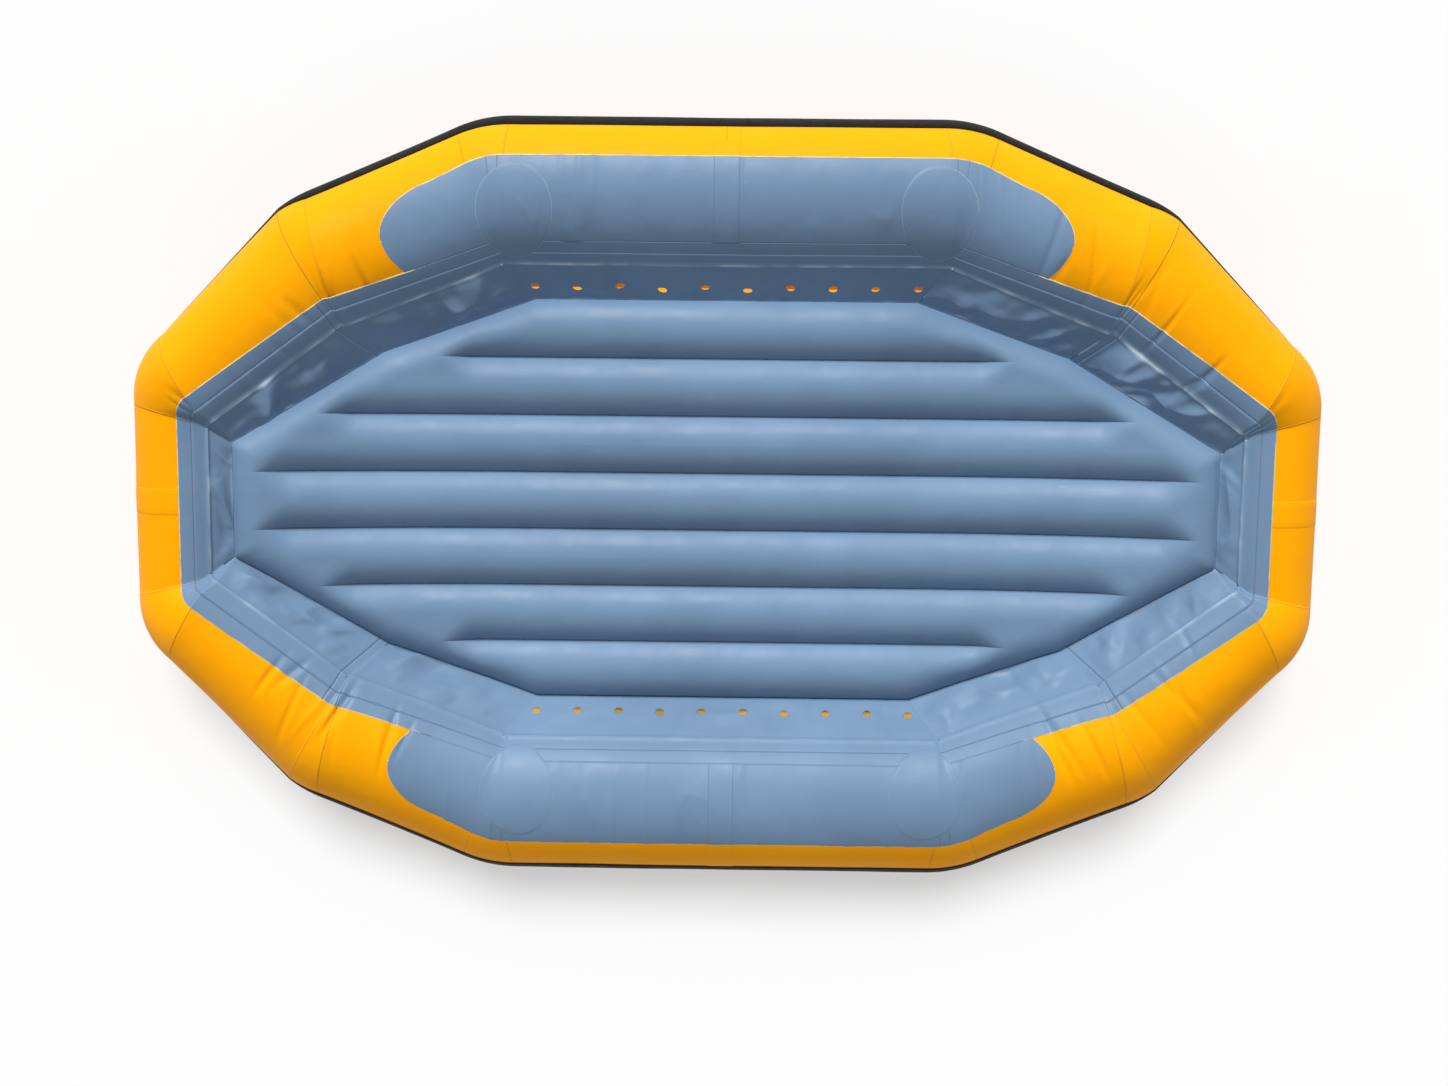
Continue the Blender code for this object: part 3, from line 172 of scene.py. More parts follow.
def layered_noise(x: Array, y: Array, seed: int, octaves: int = 3) -> Array:
    """Sum of value noises, each twice as fine and half as strong as the last."""
    total = sum(lattice_noise(x * 2.0 ** i, y * 2.0 ** i, seed + i) * 0.5 ** i for i in range(octaves))
    return total / (2.0 - 0.5 ** (octaves - 1))


@dataclass(frozen=True)
class Bend:
    """One bend of the ring: inboard plan corner, run directions, radii and lines."""

    pivot: Array
    facing_in: float
    facing_out: float
    radius_in: float
    radius_out: float
    lines_in: tuple[float, ...]
    lines_out: tuple[float, ...]
    pull: float = 0.032
    sharp_radius: float = 0.030

    def offset(self, distance_in: Array, distance_out: Array) -> Array:
        """Plan points at given distances outboard of the two runs that meet here.

        Args:
            distance_in: Distances from the run before the bend.
            distance_out: Distances from the run after it.

        Returns:
            Points with a last axis of two.
        """
        sine = math.sin(self.facing_out - self.facing_in)
        cross_in = np.array([math.sin(self.facing_out), -math.cos(self.facing_out)])
        cross_out = np.array([-math.sin(self.facing_in), math.cos(self.facing_in)])
        step = np.multiply.outer(distance_in, cross_in) + np.multiply.outer(distance_out, cross_out)
        return self.pivot + step / sine

    def centre(self) -> Array:
        """Plan centre of the arcs of the lines over and outboard of the tube."""
        return self.offset(np.float64(self.pull), np.float64(self.pull))

    def plan(self, share: Array, angles: Array, height: Array) -> Array:
        """Plan points round the bend: offsets from both runs, rounded by an arc.

        Args:
            share: How far round the bend, 0 to 1.
            angles: Angles round the tube's section.
            height: Height off the tube's surface.

        Returns:
            Points with a last axis of two.
        """
        reach = np.cos(angles)
        distance_in = self.radius_in + (self.radius_in + height) * reach
        distance_out = self.radius_out + (self.radius_out + height) * reach
        arc = np.maximum(self.sharp_radius, np.minimum(distance_in, distance_out) - self.pull)
        facing = blend(self.facing_in, self.facing_out, share)
        outward = np.stack([np.cos(facing), np.sin(facing)], axis=-1)
        return self.offset(distance_in - arc, distance_out - arc) + arc[..., None] * outward


@dataclass
class Ring:
    """The buoyancy ring as a surface over a place along it and an angle round it.

    A place runs from 0 at mid port side over the bow (7), mid starboard (14) and
    the stern (21) back to 28. Angle 0 is outboard, a quarter turn is the top.
    """

    side_corner: tuple[float, float] = (0.581, 0.604)
    shoulder_corner: tuple[float, float] = (0.991, 0.437)
    end_corner: tuple[float, float] = (1.326, 0.179)
    radii: tuple[float, ...] = (0.210, 0.2065, 0.201, 0.195, 0.158, 0.132)
    side_lines: tuple[float, ...] = (-34, 33, 64, 126, 136, 147)
    shoulder_in_lines: tuple[float, ...] = (-34, 33, 62, 118, 129, 146)
    shoulder_out_lines: tuple[float, ...] = (-34, 25, 60, 116, 127, 143)
    end_in_lines: tuple[float, ...] = (-38, 6, 54, 102, 118, 137)
    end_lines: tuple[float, ...] = (-42, 4, 50, 98, 114, 131)
    tube_rise: float = 0.186
    rise_start: float = 0.56
    rise_length: float = 1.10
    keel_half_facet: float = 12.0
    keel_layer: float = 0.0026
    tape_half_width: float = 0.035
    tape_layer: float = 0.0003
    trim_layer: float = 0.0011
    patch_layer: float = 0.0034
    floor_edge_height: float = 0.197
    floor_rise: float = 0.248
    curtain_thickness: float = 0.0012
    curtain_lean: float = 3.0
    floor_corner_pull: float = 0.060
    bends: list[Bend] = field(init=False)
    feet: list[Array] = field(init=False)

    def __post_init__(self) -> None:
        """Work out the bends and the feet of the curtain."""
        pivots = [np.array(p) for p in (self.side_corner, self.shoulder_corner, self.end_corner)]
        runs = [pivots[1] - pivots[0], pivots[2] - pivots[1]]
        facings = [math.pi / 2.0, *(math.atan2(run[0], -run[1]) for run in runs), 0.0]
        lines = (self.side_lines, self.side_lines, self.shoulder_in_lines, self.shoulder_out_lines,
                 self.end_in_lines, self.end_lines)
        self.bends = [Bend(pivots[i], facings[i], facings[i + 1], *self.radii[2 * i:2 * i + 2],
                           *lines[2 * i:2 * i + 2]) for i in range(len(pivots))]
        self.feet = [self._foot(i) for i in range(len(pivots))]
        self.feet[0] = self.feet[0] - np.array([self.floor_corner_pull, 0.0])

    @staticmethod
    def fold(places: Array) -> tuple[Array, Array, Array]:
        """Mirror places into the first quarter.

        Args:
            places: Places along the ring.

        Returns:
            Places from 0 to 7, and the signs of X and Y of where they lie.
        """
        whole = np.mod(places, FULL_RING)
        half = np.mod(places, FULL_RING / 2.0)
        place = SEGMENTS - np.abs(half - SEGMENTS)
        sign_x = np.where(whole < FULL_RING / 2.0, 1.0, -1.0)
        sign_y = np.where((whole < SEGMENTS) | (whole >= 3 * SEGMENTS), 1.0, -1.0)
        return place, sign_x, sign_y

    def _knots(self, values: list[float]) -> Array:
        """Values at the eight segment borders of a quarter."""
        return np.array([values[0], *values, values[-1]], dtype=float)

    def radius(self, places: Array) -> Array:
        """Tube radius, linear between the bends' ends."""
        return np.interp(self.fold(places)[0], np.arange(SEGMENTS + 1), self._knots(list(self.radii)))

    def angle(self, line: Line, places: Array) -> Array:
        """Angle of a line round the section, in radians."""
        values = [lines[line.value] for bend in self.bends for lines in (bend.lines_in, bend.lines_out)]
        return np.radians(np.interp(self.fold(places)[0], np.arange(SEGMENTS + 1), self._knots(values)))

    def bend_rows(self, places: Array) -> list[int]:
        """Numbers of the places at which a bend starts or ends."""
        folded = self.fold(places)[0]
        return [i for i, place in enumerate(folded) if min(abs(place - bend) for bend in BENDS) < HAIR]

    def _plan(self, segment: int, share: Array, angles: Array, height: Array) -> Array:
        """Plan points in one segment of the first quarter.

        A run is a straight blend between the bends at its two ends. Both end
        runs have a knot half way, so that tape and chamber share their rows.

        Args:
            segment: Number of the segment.
            share: How far along it, 0 to 1.
            angles: Angles round the section.
            height: Height off the surface.

        Returns:
            Points with a last axis of two.
        """
        index, on_bend = divmod(segment - 1, 2)
        if segment == 0:
            points = self.bends[0].plan(0.0 * share, angles, height)
            half = self.side_corner[0] / 2.0
            near = 2.0 * share * half
            points[..., 0] = np.where(share < 0.5, near, half + (2.0 * share - 1.0) * (points[..., 0] - half))
            return points
        if on_bend == 0:
            return self.bends[index].plan(share, angles, height)
        own = self.bends[index].plan(1.0 + 0.0 * share, angles, height)
        if segment == SEGMENTS - 1:
            half = self.tape_half_width
            near = own[..., 1] + (half - own[..., 1]) * 2.0 * share
            own[..., 1] = np.where(share < 0.5, near, half * (2.0 - 2.0 * share))
            return own
        following = self.bends[index + 1].plan(0.0 * share, angles, height)
        return blend(own, following, share[..., None])

    def rise(self, x: Array) -> Array:
        """Lift of the tube's underside: a parabola beyond the straight side."""
        return self.tube_rise * np.maximum(0.0, (np.abs(x) - self.rise_start) / self.rise_length) ** 2

    def floor_edge(self, x: Array) -> Array:
        """Height of the floor's edge: a parabola beyond the straight side."""
        lift = np.maximum(0.0, (np.abs(x) - self.rise_start) / self.rise_length) ** 2
        return self.floor_edge_height + self.floor_rise * lift

    def surface(self, places: Array, angles: Array, height: Array | float = 0.0) -> Array:
        """Points on the tube: a circle round the centre line, flat at the keel.

        Args:
            places: Places along the ring.
            angles: Angles round the section.
            height: Height off the surface.

        Returns:
            Points with a last axis of three.
        """
        places, angles, height = np.broadcast_arrays(places, angles, height)
        place, sign_x, sign_y = self.fold(places)
        segment = np.minimum(place.astype(int), SEGMENTS - 1)
        share = place - segment
        plan, crest = np.empty(angles.shape + (2,)), np.empty(angles.shape + (2,))
        for index in range(SEGMENTS):
            here = segment == index
            if here.any():
                plan[here] = self._plan(index, share[here], angles[here], height[here])
                top = np.full(int(here.sum()), math.pi / 2.0)
                crest[here] = self._plan(index, share[here], top, 0.0 * top)
        radius = self.radius(places)
        keel_share = math.cos(math.radians(self.keel_half_facet))
        middle = self.rise(crest[..., 0]) + (radius + self.keel_layer) * keel_share
        up = np.maximum(middle + (radius + height) * np.sin(angles), middle - (radius + height) * keel_share)
        return np.stack([plan[..., 0] * sign_x, plan[..., 1] * sign_y, up], axis=-1)

    def places(self, first: float, last: float, step: float) -> Array:
        """Places about a step apart, with all segment borders among them.

        Args:
            first: Place of the start.
            last: Place of the end.
            step: Wanted distance in metres, high on the outboard side.

        Returns:
            Rising places.
        """
        inner = np.arange(math.ceil(first), math.floor(last) + 1)
        borders = np.unique(np.concatenate([[first, last], inner]))
        pieces = []
        for low, high in zip(borders[:-1], borders[1:]):
            ends = np.linspace(low, high, 9)
            run = self.surface(ends, np.full_like(ends, math.radians(60.0)))
            length = np.linalg.norm(np.diff(run, axis=0), axis=1).sum()
            count = max(2, math.ceil(length / step))
            pieces.append(np.linspace(low, high, count + 1)[:-1])
        return np.concatenate([*pieces, [last]])

    def around(self, middle: float, reach: float, step: float) -> Array:
        """Places to both sides of a middle, about a step apart."""
        return self.places(middle - reach, middle + reach, step)

    def place_of(self, x: Array, y: Array) -> tuple[Array, Array]:
        """Place and angle on the upper tube over a plan point of the first quarter.

        The place follows from the sector, straight or round a bend's centre,
        that the point lies in.

        Args:
            x: Distances from mid length.
            y: Distances from the centre line.

        Returns:
            Places along the ring and angles round the tube.
        """
        point = np.stack([x, y], axis=-1)
        centre = self.bends[0].centre()
        half = self.side_corner[0] / 2.0
        straight = np.where(x < half, x / half / 2.0, 0.5 + (x - half) / (centre[0] - half) / 2.0)
        place, distance = straight, y - self.side_corner[1]
        for index, bend in enumerate(self.bends):
            centre = bend.centre()
            arm = point - centre
            facing = np.arctan2(arm[..., 1], arm[..., 0])
            turned = np.clip((bend.facing_in - facing) / (bend.facing_in - bend.facing_out), 0.0, 1.0)
            past = facing < bend.facing_in
            place = np.where(past, 1.0 + 2.0 * index + turned, place)
            distance = np.where(past, np.hypot(arm[..., 0], arm[..., 1]) + bend.pull, distance)
            normal = np.array([math.cos(bend.facing_out), math.sin(bend.facing_out)])
            along = arm @ np.array([normal[1], -normal[0]])
            beyond = facing < bend.facing_out
            if index + 1 < len(self.bends):
                length = np.linalg.norm(self.bends[index + 1].centre() - centre)
            else:
                length = 2.0 * centre[1]
            place = np.where(beyond, 2.0 + 2.0 * index + np.clip(along / length, 0.0, 1.0), place)
            distance = np.where(beyond, arm @ normal + bend.pull, distance)
        radius = self.radius(place)
        return place, np.arccos(np.clip((distance - radius) / radius, -1.0, 1.0))

    def _foot(self, index: int) -> Array:
        """Plan point where the leaning curtain meets the floor at a bend, settled in a few rounds.

        Args:
            index: Number of the bend in its quarter.

        Returns:
            X and Y of the foot.
        """
        bend = self.bends[index]
        tops, leans, reaches = [], [], []
        ends = ((0.0, bend.radius_in, bend.lines_in), (1.0, bend.radius_out, bend.lines_out))
        for share, radius, lines in ends:
            crease = math.radians(lines[Line.CREASE.value])
            place = np.array([1.0 + 2.0 * index + share])
            layer = self.trim_layer + self.curtain_thickness
            tops.append(self.surface(place, np.array([crease]), layer)[0, 2])
            leans.append(math.tan(math.pi - crease + math.radians(self.curtain_lean)))
            reaches.append(radius * (1.0 + math.cos(crease)))
        foot = bend.pivot
        for _ in range(6):
            height = float(self.floor_edge(foot[0]))
            foot = bend.offset(*(r - (t - height) * lean for r, t, lean in zip(reaches, tops, leans)))
        return foot

    def foot(self, places: Array) -> Array:
        """Points of the floor's upper edge below the places, straight between its corners.

        Args:
            places: Places along the ring.

        Returns:
            Points with a last axis of three.
        """
        place, sign_x, sign_y = self.fold(places)
        side, shoulder, end = self.feet
        start, finish = np.array([0.0, side[1]]), np.array([end[0], 0.0])
        knots = np.array([start, side, side, shoulder, shoulder, end, end, finish])
        x, y = (np.interp(place, np.arange(SEGMENTS + 1), knots[:, axis]) for axis in (0, 1))
        return np.stack([x * sign_x, y * sign_y, self.floor_edge(x)], axis=-1)


def along_distance(points: Array) -> Array:
    """Distance run along the first axis of a grid of points, column by column."""
    steps = np.linalg.norm(np.diff(points, axis=0), axis=-1)
    return np.concatenate([np.zeros_like(steps[:1]), np.cumsum(steps, axis=0)])


def across_distance(points: Array) -> Array:
    """Distance run along the second axis of a grid of points, row by row."""
    return along_distance(points.transpose(1, 0, 2)).T


def grid_normals(points: Array) -> Array:
    """Unit normals of a grid: cross product of its two central differences."""
    normal = np.cross(np.gradient(points, axis=0), np.gradient(points, axis=1))
    return normal / np.maximum(np.linalg.norm(normal, axis=-1, keepdims=True), 1e-12)


def unrolled(points: Array) -> Array:
    """UV of a grid of points: metres along and across it, one row for each point."""
    return np.stack([along_distance(points), across_distance(points)], axis=-1).reshape(-1, 2)


def border_ids(rows: int, columns: int) -> Array:
    """Numbers of the border points of a grid of rows and columns, once round."""
    return np.concatenate([np.arange(rows) * columns, (rows - 1) * columns + np.arange(1, columns),
                           np.arange(rows - 2, -1, -1) * columns + columns - 1,
                           np.arange(columns - 2, 0, -1)])


def cell_faces(rows: int, columns: int, start: int = 0, wrap: bool = False) -> Array:
    """Quads of a grid of points numbered row by row.

    Args:
        rows: Number of rows.
        columns: Number of columns.
        start: Number of the first point.
        wrap: Whether the last column joins the first.

    Returns:
        One row of four point numbers for each quad.
    """
    i, j = np.meshgrid(np.arange(rows - 1), np.arange(columns if wrap else columns - 1), indexing="ij")
    k = (j + 1) % columns
    row, after = i * columns, (i + 1) * columns
    return np.stack([row + j, after + j, after + k, row + k], axis=-1).reshape(-1, 4) + start


def linked(name: str, data: bpy.types.ID) -> Piece:
    """New object of a mesh, a lamp or a camera, linked to the scene.

    Args:
        name: Name of the object.
        data: What it shows.

    Returns:
        The object.
    """
    made = bpy.data.objects.new(name, data)
    bpy.context.scene.collection.objects.link(made)
    return made


@dataclass(frozen=True)
class Coat:
    """A finished material, with the name of a material slot kept beside it."""

    material: bpy.types.Material
    slot: str


@dataclass
class Form:
    """A closed mesh in the making: points, quads, UV and named marks on its points."""

    points: Array
    quads: Array
    triangles: Array = field(default_factory=lambda: np.zeros((0, 3), dtype=int))
    uv: Array | None = None
    marks: dict[str, Array] = field(default_factory=dict)

    def signed_volume(self) -> float:
        """Volume inside the faces.

        Returns:
            Cubic metres, negative when the faces point in.
        """
        quads, triangles, p = self.quads, self.triangles, self.points
        corners = np.concatenate([quads[:, [0, 1, 2]], quads[:, [0, 2, 3]], triangles])
        a, b, c = (p[corners[:, i]] for i in range(3))
        return float(np.einsum("ij,ij->i", a, np.cross(b, c)).sum() / 6.0)

    def to_object(self, name: str, coat: Coat, *nodes: str, merge: float = 0.0,
                  body: str = BODY) -> Piece:
        """Turn the form into an object that rides on a body.

        Args:
            name: Name of the piece.
            coat: Its material and slot.
            nodes: CAD nodes that it replaces.
            merge: Points closer than this become one.
            body: Body that it moves with.

        Returns:
            The new object, smooth shaded, with its faces pointing out.
        """
        step = -1 if self.signed_volume() < 0.0 else 1
        quads, triangles = self.quads[:, ::step], self.triangles[:, ::step]
        loops = np.concatenate([quads.ravel(), triangles.ravel()]).astype(np.int32)
        sizes = np.concatenate([np.full(len(quads), 4), np.full(len(triangles), 3)]).astype(np.int32)
        mesh = bpy.data.meshes.new(name)
        mesh.vertices.add(len(self.points))
        mesh.vertices.foreach_set("co", self.points.astype(np.float32).ravel())
        mesh.loops.add(len(loops))
        mesh.loops.foreach_set("vertex_index", loops)
        mesh.polygons.add(len(sizes))
        mesh.polygons.foreach_set("loop_start", (np.cumsum(sizes) - sizes).astype(np.int32))
        mesh.update(calc_edges=True)
        if self.uv is not None:
            layer = mesh.uv_layers.new(name="UVMap")
            layer.data.foreach_set("uv", self.uv[loops].astype(np.float32).ravel())
        for mark, values in self.marks.items():
            made = mesh.attributes.new(mark, "FLOAT", "POINT")
            made.data.foreach_set("value", values.astype(np.float32).ravel())
        if merge > 0.0:
            work = bmesh.new()
            work.from_mesh(mesh)
            bmesh.ops.remove_doubles(work, verts=work.verts, dist=merge)
            bmesh.ops.dissolve_degenerate(work, edges=work.edges, dist=merge / 10.0)
            work.to_mesh(mesh)
            work.free()
        mesh.shade_smooth()
        mesh.materials.append(coat.material)
        made = linked(name, mesh)
        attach(made, body)
        if nodes:
            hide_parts(*nodes)
        return made


def closed_sheet(upper: Array, lower: Array, marks: dict[str, Array] | None = None,
                 wrap: bool = False) -> Form:
    """Thin closed form between two grids of points that face each other.

    Args:
        upper: Grid of the outer face, rows by columns by three.
        lower: Grid of the inner face.
        marks: Values for the grid's points, used on both faces.
        wrap: Whether the grids run round a tube, so that their last columns join the first.

    Returns:
        The form, with UV in metres along and across the sheet.
    """
    rows, columns = upper.shape[:2]
    count = rows * columns
    faces = [cell_faces(rows, columns, wrap=wrap), cell_faces(rows, columns, count, wrap)[:, ::-1]]
    row = np.arange(columns)
    for border in ((row[::-1], count - columns + row) if wrap else (border_ids(rows, columns),)):
        after = np.roll(border, -1)
        faces.append(np.stack([border, border + count, after + count, after], axis=-1))
    both = {name: np.tile(values.ravel(), 2) for name, values in (marks or {}).items()}
    return Form(np.concatenate([upper.reshape(-1, 3), lower.reshape(-1, 3)]), np.concatenate(faces),
                uv=np.tile(unrolled(upper), (2, 1)), marks=both)


def capped_pipe(grid: Array, marks: dict[str, Array]) -> Form:
    """Closed form of a grid wrapped round a tube, with a fan over each end.

    Args:
        grid: Points, rows along the tube.
        marks: Values for the grid's points.

    Returns:
        The form, with UV in metres.
    """
    rows, columns = grid.shape[:2]
    count = rows * columns
    tips = np.stack([grid[0].mean(axis=0), grid[-1].mean(axis=0)])
    j = np.arange(columns)
    k = (j + 1) % columns
    last = (rows - 1) * columns
    fans = np.concatenate([np.stack([j, k, np.full(columns, count)], axis=-1),
                           np.stack([last + k, last + j, np.full(columns, count + 1)], axis=-1)])
    uv = unrolled(grid)
    padded = {name: np.concatenate([values.ravel(), values[[0, -1], 0]]) for name, values in marks.items()}
    return Form(np.concatenate([grid.reshape(-1, 3), tips]), cell_faces(rows, columns, wrap=True),
                fans, np.concatenate([uv, uv[[0, -1]]]), padded)


def sheet_size(grid: Array) -> tuple[float, float, float]:
    """Longest width, longest length and area of a grid of points."""
    cells = np.cross(grid[1:, :-1] - grid[:-1, :-1], grid[:-1, 1:] - grid[:-1, :-1])
    return (float(across_distance(grid)[:, -1].max()), float(along_distance(grid)[-1].max()),
            float(np.linalg.norm(cells, axis=-1).sum()))


def border_gap(grid: Array) -> Array:
    """Distance from each point of a grid to the nearest of its four borders."""
    along, across = along_distance(grid), across_distance(grid)
    return np.minimum(np.minimum(along, along[-1:] - along), np.minimum(across, across[:, -1:] - across))


def row_gap(run: Array, rows: list[int]) -> Array:
    """Distance from each point to the nearest of some rows, from the distances run along the grid."""
    return np.min([np.abs(run - run[row]) for row in rows], axis=0)


def nearness(gap: Array) -> Array:
    """Mark for a line: 1 on it, falling straight to 0 at the marks' reach."""
    return np.clip(1.0 - np.abs(gap) / MARK_REACH, 0.0, 1.0)


def taut_sheet(made: Piece, grid: Array) -> Piece:
    """Work out the flat size of a grid of points for a sheet piece; the piece is returned as it is.

    Args:
        made: The piece.
        grid: Points of its outer face.

    Returns:
        The piece.
    """
    width, length, area = sheet_size(grid)
    return made


def reaches(joint: float, gap: float) -> dict[str, float]:
    """Places from each side's or end's middle to the joint of the first quarter, less a gap."""
    return {name: (SEGMENTS - joint if middle % (2 * SEGMENTS) else joint) - gap
            for name, middle in MIDDLES.items()}


Socket = bpy.types.NodeSocket
Colour = tuple[float, float, float]


class Recipe:
    """Node tree of one material, wired with short calls."""

    def __init__(self, name: str) -> None:
        """Start from an empty Principled material."""
        self.material = bpy.data.materials.new(name)
        self.material.use_nodes = True
        self.tree = self.material.node_tree
        self.shader = self.tree.nodes["Principled BSDF"]

    def node(self, kind: str, inputs: dict[int | str, object], **settings: object) -> bpy.types.Node:
        """Add a node.

        Args:
            kind: Type of the node.
            inputs: Values or sockets, by the name or number of the input.
            settings: Properties of the node.

        Returns:
            The new node.
        """
        made = self.tree.nodes.new(kind)
        for key, value in settings.items():
            setattr(made, key, value)
        for socket, value in inputs.items():
            self.put(made, socket, value)
        return made

    def put(self, node: bpy.types.Node, socket: int | str, value: object) -> None:
        """Link or set an input.

        Args:
            node: The node.
            socket: Name or number of its input.
            value: A socket, number, vector or colour.
        """
        target = node.inputs[socket]
        if isinstance(value, Socket):
            self.tree.links.new(value, target)
        else:
            target.default_value = (*value, 1.0) if target.type == "RGBA" and len(value) == 3 else value

    def math(self, operation: str, first: Socket | float, second: Socket | float = 0.0) -> Socket:
        """One arithmetic step."""
        return self.node("ShaderNodeMath", {0: first, 1: second}, operation=operation).outputs[0]

    def place(self) -> Socket:
        """Object coordinates in metres."""
        return self.node("ShaderNodeTexCoord", {}).outputs["Object"]

    def unrolled(self) -> Socket:
        """UV coordinates, in metres along and across the piece."""
        return self.node("ShaderNodeTexCoord", {}).outputs["UV"]

    def stretched(self, vector: Socket, scale: tuple[float, float, float]) -> Socket:
        """Coordinates scaled by axis."""
        return self.node("ShaderNodeMapping", {"Vector": vector, "Scale": scale}).outputs[0]

    def mark(self, name: str) -> Socket:
        """A named value on the piece's points, 0 where it has none."""
        return self.node("ShaderNodeAttribute", {}, attribute_name=name).outputs["Fac"]

    def noise(self, vector: Socket, scale: float, detail: float = 2.0, roughness: float = 0.5) -> Socket:
        """Noise from 0 to 1 with a number of lumps per metre."""
        return self.node("ShaderNodeTexNoise", {"Vector": vector, "Scale": scale, "Detail": detail,
                                                "Roughness": roughness}).outputs["Fac"]

    def ramp(self, value: Socket, low: float, high: float, start: float = 0.0, end: float = 1.0) -> Socket:
        """Smooth rise from start to end while the value goes from low to high."""
        return self.node("ShaderNodeMapRange", {0: value, 1: low, 2: high, 3: start, 4: end},
                         interpolation_type="SMOOTHSTEP").outputs[0]

    def mix(self, share: Socket | float, first: Socket | Colour, second: Socket | Colour) -> Socket:
        """Blend of two colours."""
        return self.node("ShaderNodeMix", {0: share, 6: first, 7: second}, data_type="RGBA").outputs[2]

    def bump(self, height: Socket, distance: float, under: Socket | None = None) -> Socket:
        """Normal bent by a height from 0 to 1 that stands for a distance in metres."""
        inputs = {"Height": height, "Distance": distance, "Strength": 1.0}
        return self.node("ShaderNodeBump", inputs | ({"Normal": under} if under else {})).outputs[0]

    def finish(self, colour: Socket | Colour, roughness: Socket | float, normal: Socket | None = None,
               **fixed: float) -> bpy.types.Material:
        """Fill in the shader.

        Args:
            colour: Base colour.
            roughness: Roughness.
            normal: Bent normal, if any.
            fixed: Values of other inputs, with underscores for spaces.

        Returns:
            The material.
        """
        self.put(self.shader, "Base Color", colour)
        self.put(self.shader, "Roughness", roughness)
        if normal is not None:
            self.put(self.shader, "Normal", normal)
        for socket, value in fixed.items():
            self.put(self.shader, socket.replace("_", " "), value)
        return self.material


@dataclass(frozen=True)
class CoatedFabric:
    """Satin coated fabric: cloudy colour, pale cut edges and welded seam lines, fine grain.

    Marks read from the piece: "edge" near a cut edge, "seam" near a weld line, where the pale line is a
    painted highlight, "tape" inside a welded tape, and a painted highlight mark on creases and rims.
    """

    name: str
    slot: str
    colour: Colour
    deep: Colour
    edge: Colour
    # Pale tone of the painted highlights on seam lines, creases and rims, and of the real scuffs.
    worn: Colour
    roughness: float
    specular: float
    scuffs: float = 0.0
    edge_width: float = 0.0022
    seam_width: float = 0.0016
    # Share of the pale tone along seam lines: a painted highlight, kept weak so that the bump gives most of
    # the shading.
    seam_paleness: float = 0.26
    tape_step: float = 0.0012
    seam_step: float = 0.0016
    lump_height: float = 0.0014
    grain_height: float = 0.00006

    def make(self) -> Coat:
        """Build the material.

        Returns:
            The material with its slot.
        """
        r = Recipe(self.name)
        place, flat = r.place(), r.unrolled()
        clouds = r.noise(place, 3.0, 3.0, 0.55)
        colour = r.mix(r.ramp(clouds, 0.35, 0.68), self.deep, self.colour)
        edge_share, seam_share = self.edge_width / MARK_REACH, self.seam_width / MARK_REACH
        near_edge = r.ramp(r.mark("edge"), 1.0 - 1.5 * edge_share, 1.0 - 0.7 * edge_share)
        seam = r.ramp(r.mark("seam"), 1.0 - 1.5 * seam_share, 1.0 - 0.6 * seam_share)
        patchy = r.ramp(r.noise(place, 22.0, 2.0), 0.3, 0.6, 0.35, 1.0)
        colour = r.mix(r.math("MULTIPLY", near_edge, patchy), colour, self.edge)
        # Pale seam lines: painted highlight.
        colour = r.mix(r.math("MULTIPLY", seam, self.seam_paleness), colour, self.worn)
        # Painted highlight where the highlight mark is set: curtain creases and feet, port patch rims.
        colour = r.mix(r.mark("worn"), colour, self.worn)
        if self.scuffs:
            streaks = r.noise(r.stretched(flat, (18.0, 110.0, 1.0)), 1.0, 3.0, 0.6)
            where = r.ramp(r.noise(place, 5.0, 1.0), 0.58, 0.7)
            scuff = r.math("MULTIPLY", r.ramp(streaks, 0.66, 0.74), where)
            colour = r.mix(r.math("MULTIPLY", scuff, self.scuffs), colour, self.worn)
        normal = r.bump(r.ramp(r.mark("tape"), 0.42, 0.58), self.tape_step)
        normal = r.bump(seam, self.seam_step, normal)
        normal = r.bump(r.noise(place, 16.0, 2.0), self.lump_height, normal)
        normal = r.bump(r.noise(flat, 900.0, 2.0), self.grain_height, normal)
        roughness = r.ramp(r.noise(place, 9.0, 3.0), 0.3, 0.7, self.roughness - 0.05, self.roughness + 0.06)
        return Coat(r.finish(colour, roughness, normal, Specular_IOR_Level=self.specular), self.slot)


@dataclass(frozen=True)
class RibbedRubber:
    """Matt black rubber with a dusty bloom and fine ribs along the piece."""

    name: str = "strake_rubber_worn"
    slot: str = "strake_rubber"
    colour: Colour = (0.0045, 0.0045, 0.004)
    dust: Colour = (0.013, 0.012, 0.011)
    rib_height: float = 0.0003
    grain_height: float = 0.0001
    specular: float = 0.06

    def make(self) -> Coat:
        """Build the material.

        Returns:
            The material with its slot.
        """
        r = Recipe(self.name)
        place, flat = r.place(), r.unrolled()
        dusty = r.ramp(r.noise(place, 30.0, 4.0, 0.6), 0.45, 0.75, 0.0, 0.6)
        colour = r.mix(dusty, self.colour, self.dust)
        ribs = r.node("ShaderNodeTexWave", {"Vector": flat, "Scale": 60.0, "Distortion": 0.0},
                      bands_direction="Y").outputs["Fac"]
        normal = r.bump(r.noise(place, 700.0, 2.0), self.grain_height, r.bump(ribs, self.rib_height))
        roughness = r.ramp(dusty, 0.0, 0.6, 0.55, 0.75)
        return Coat(r.finish(colour, roughness, normal, Specular_IOR_Level=self.specular), self.slot)


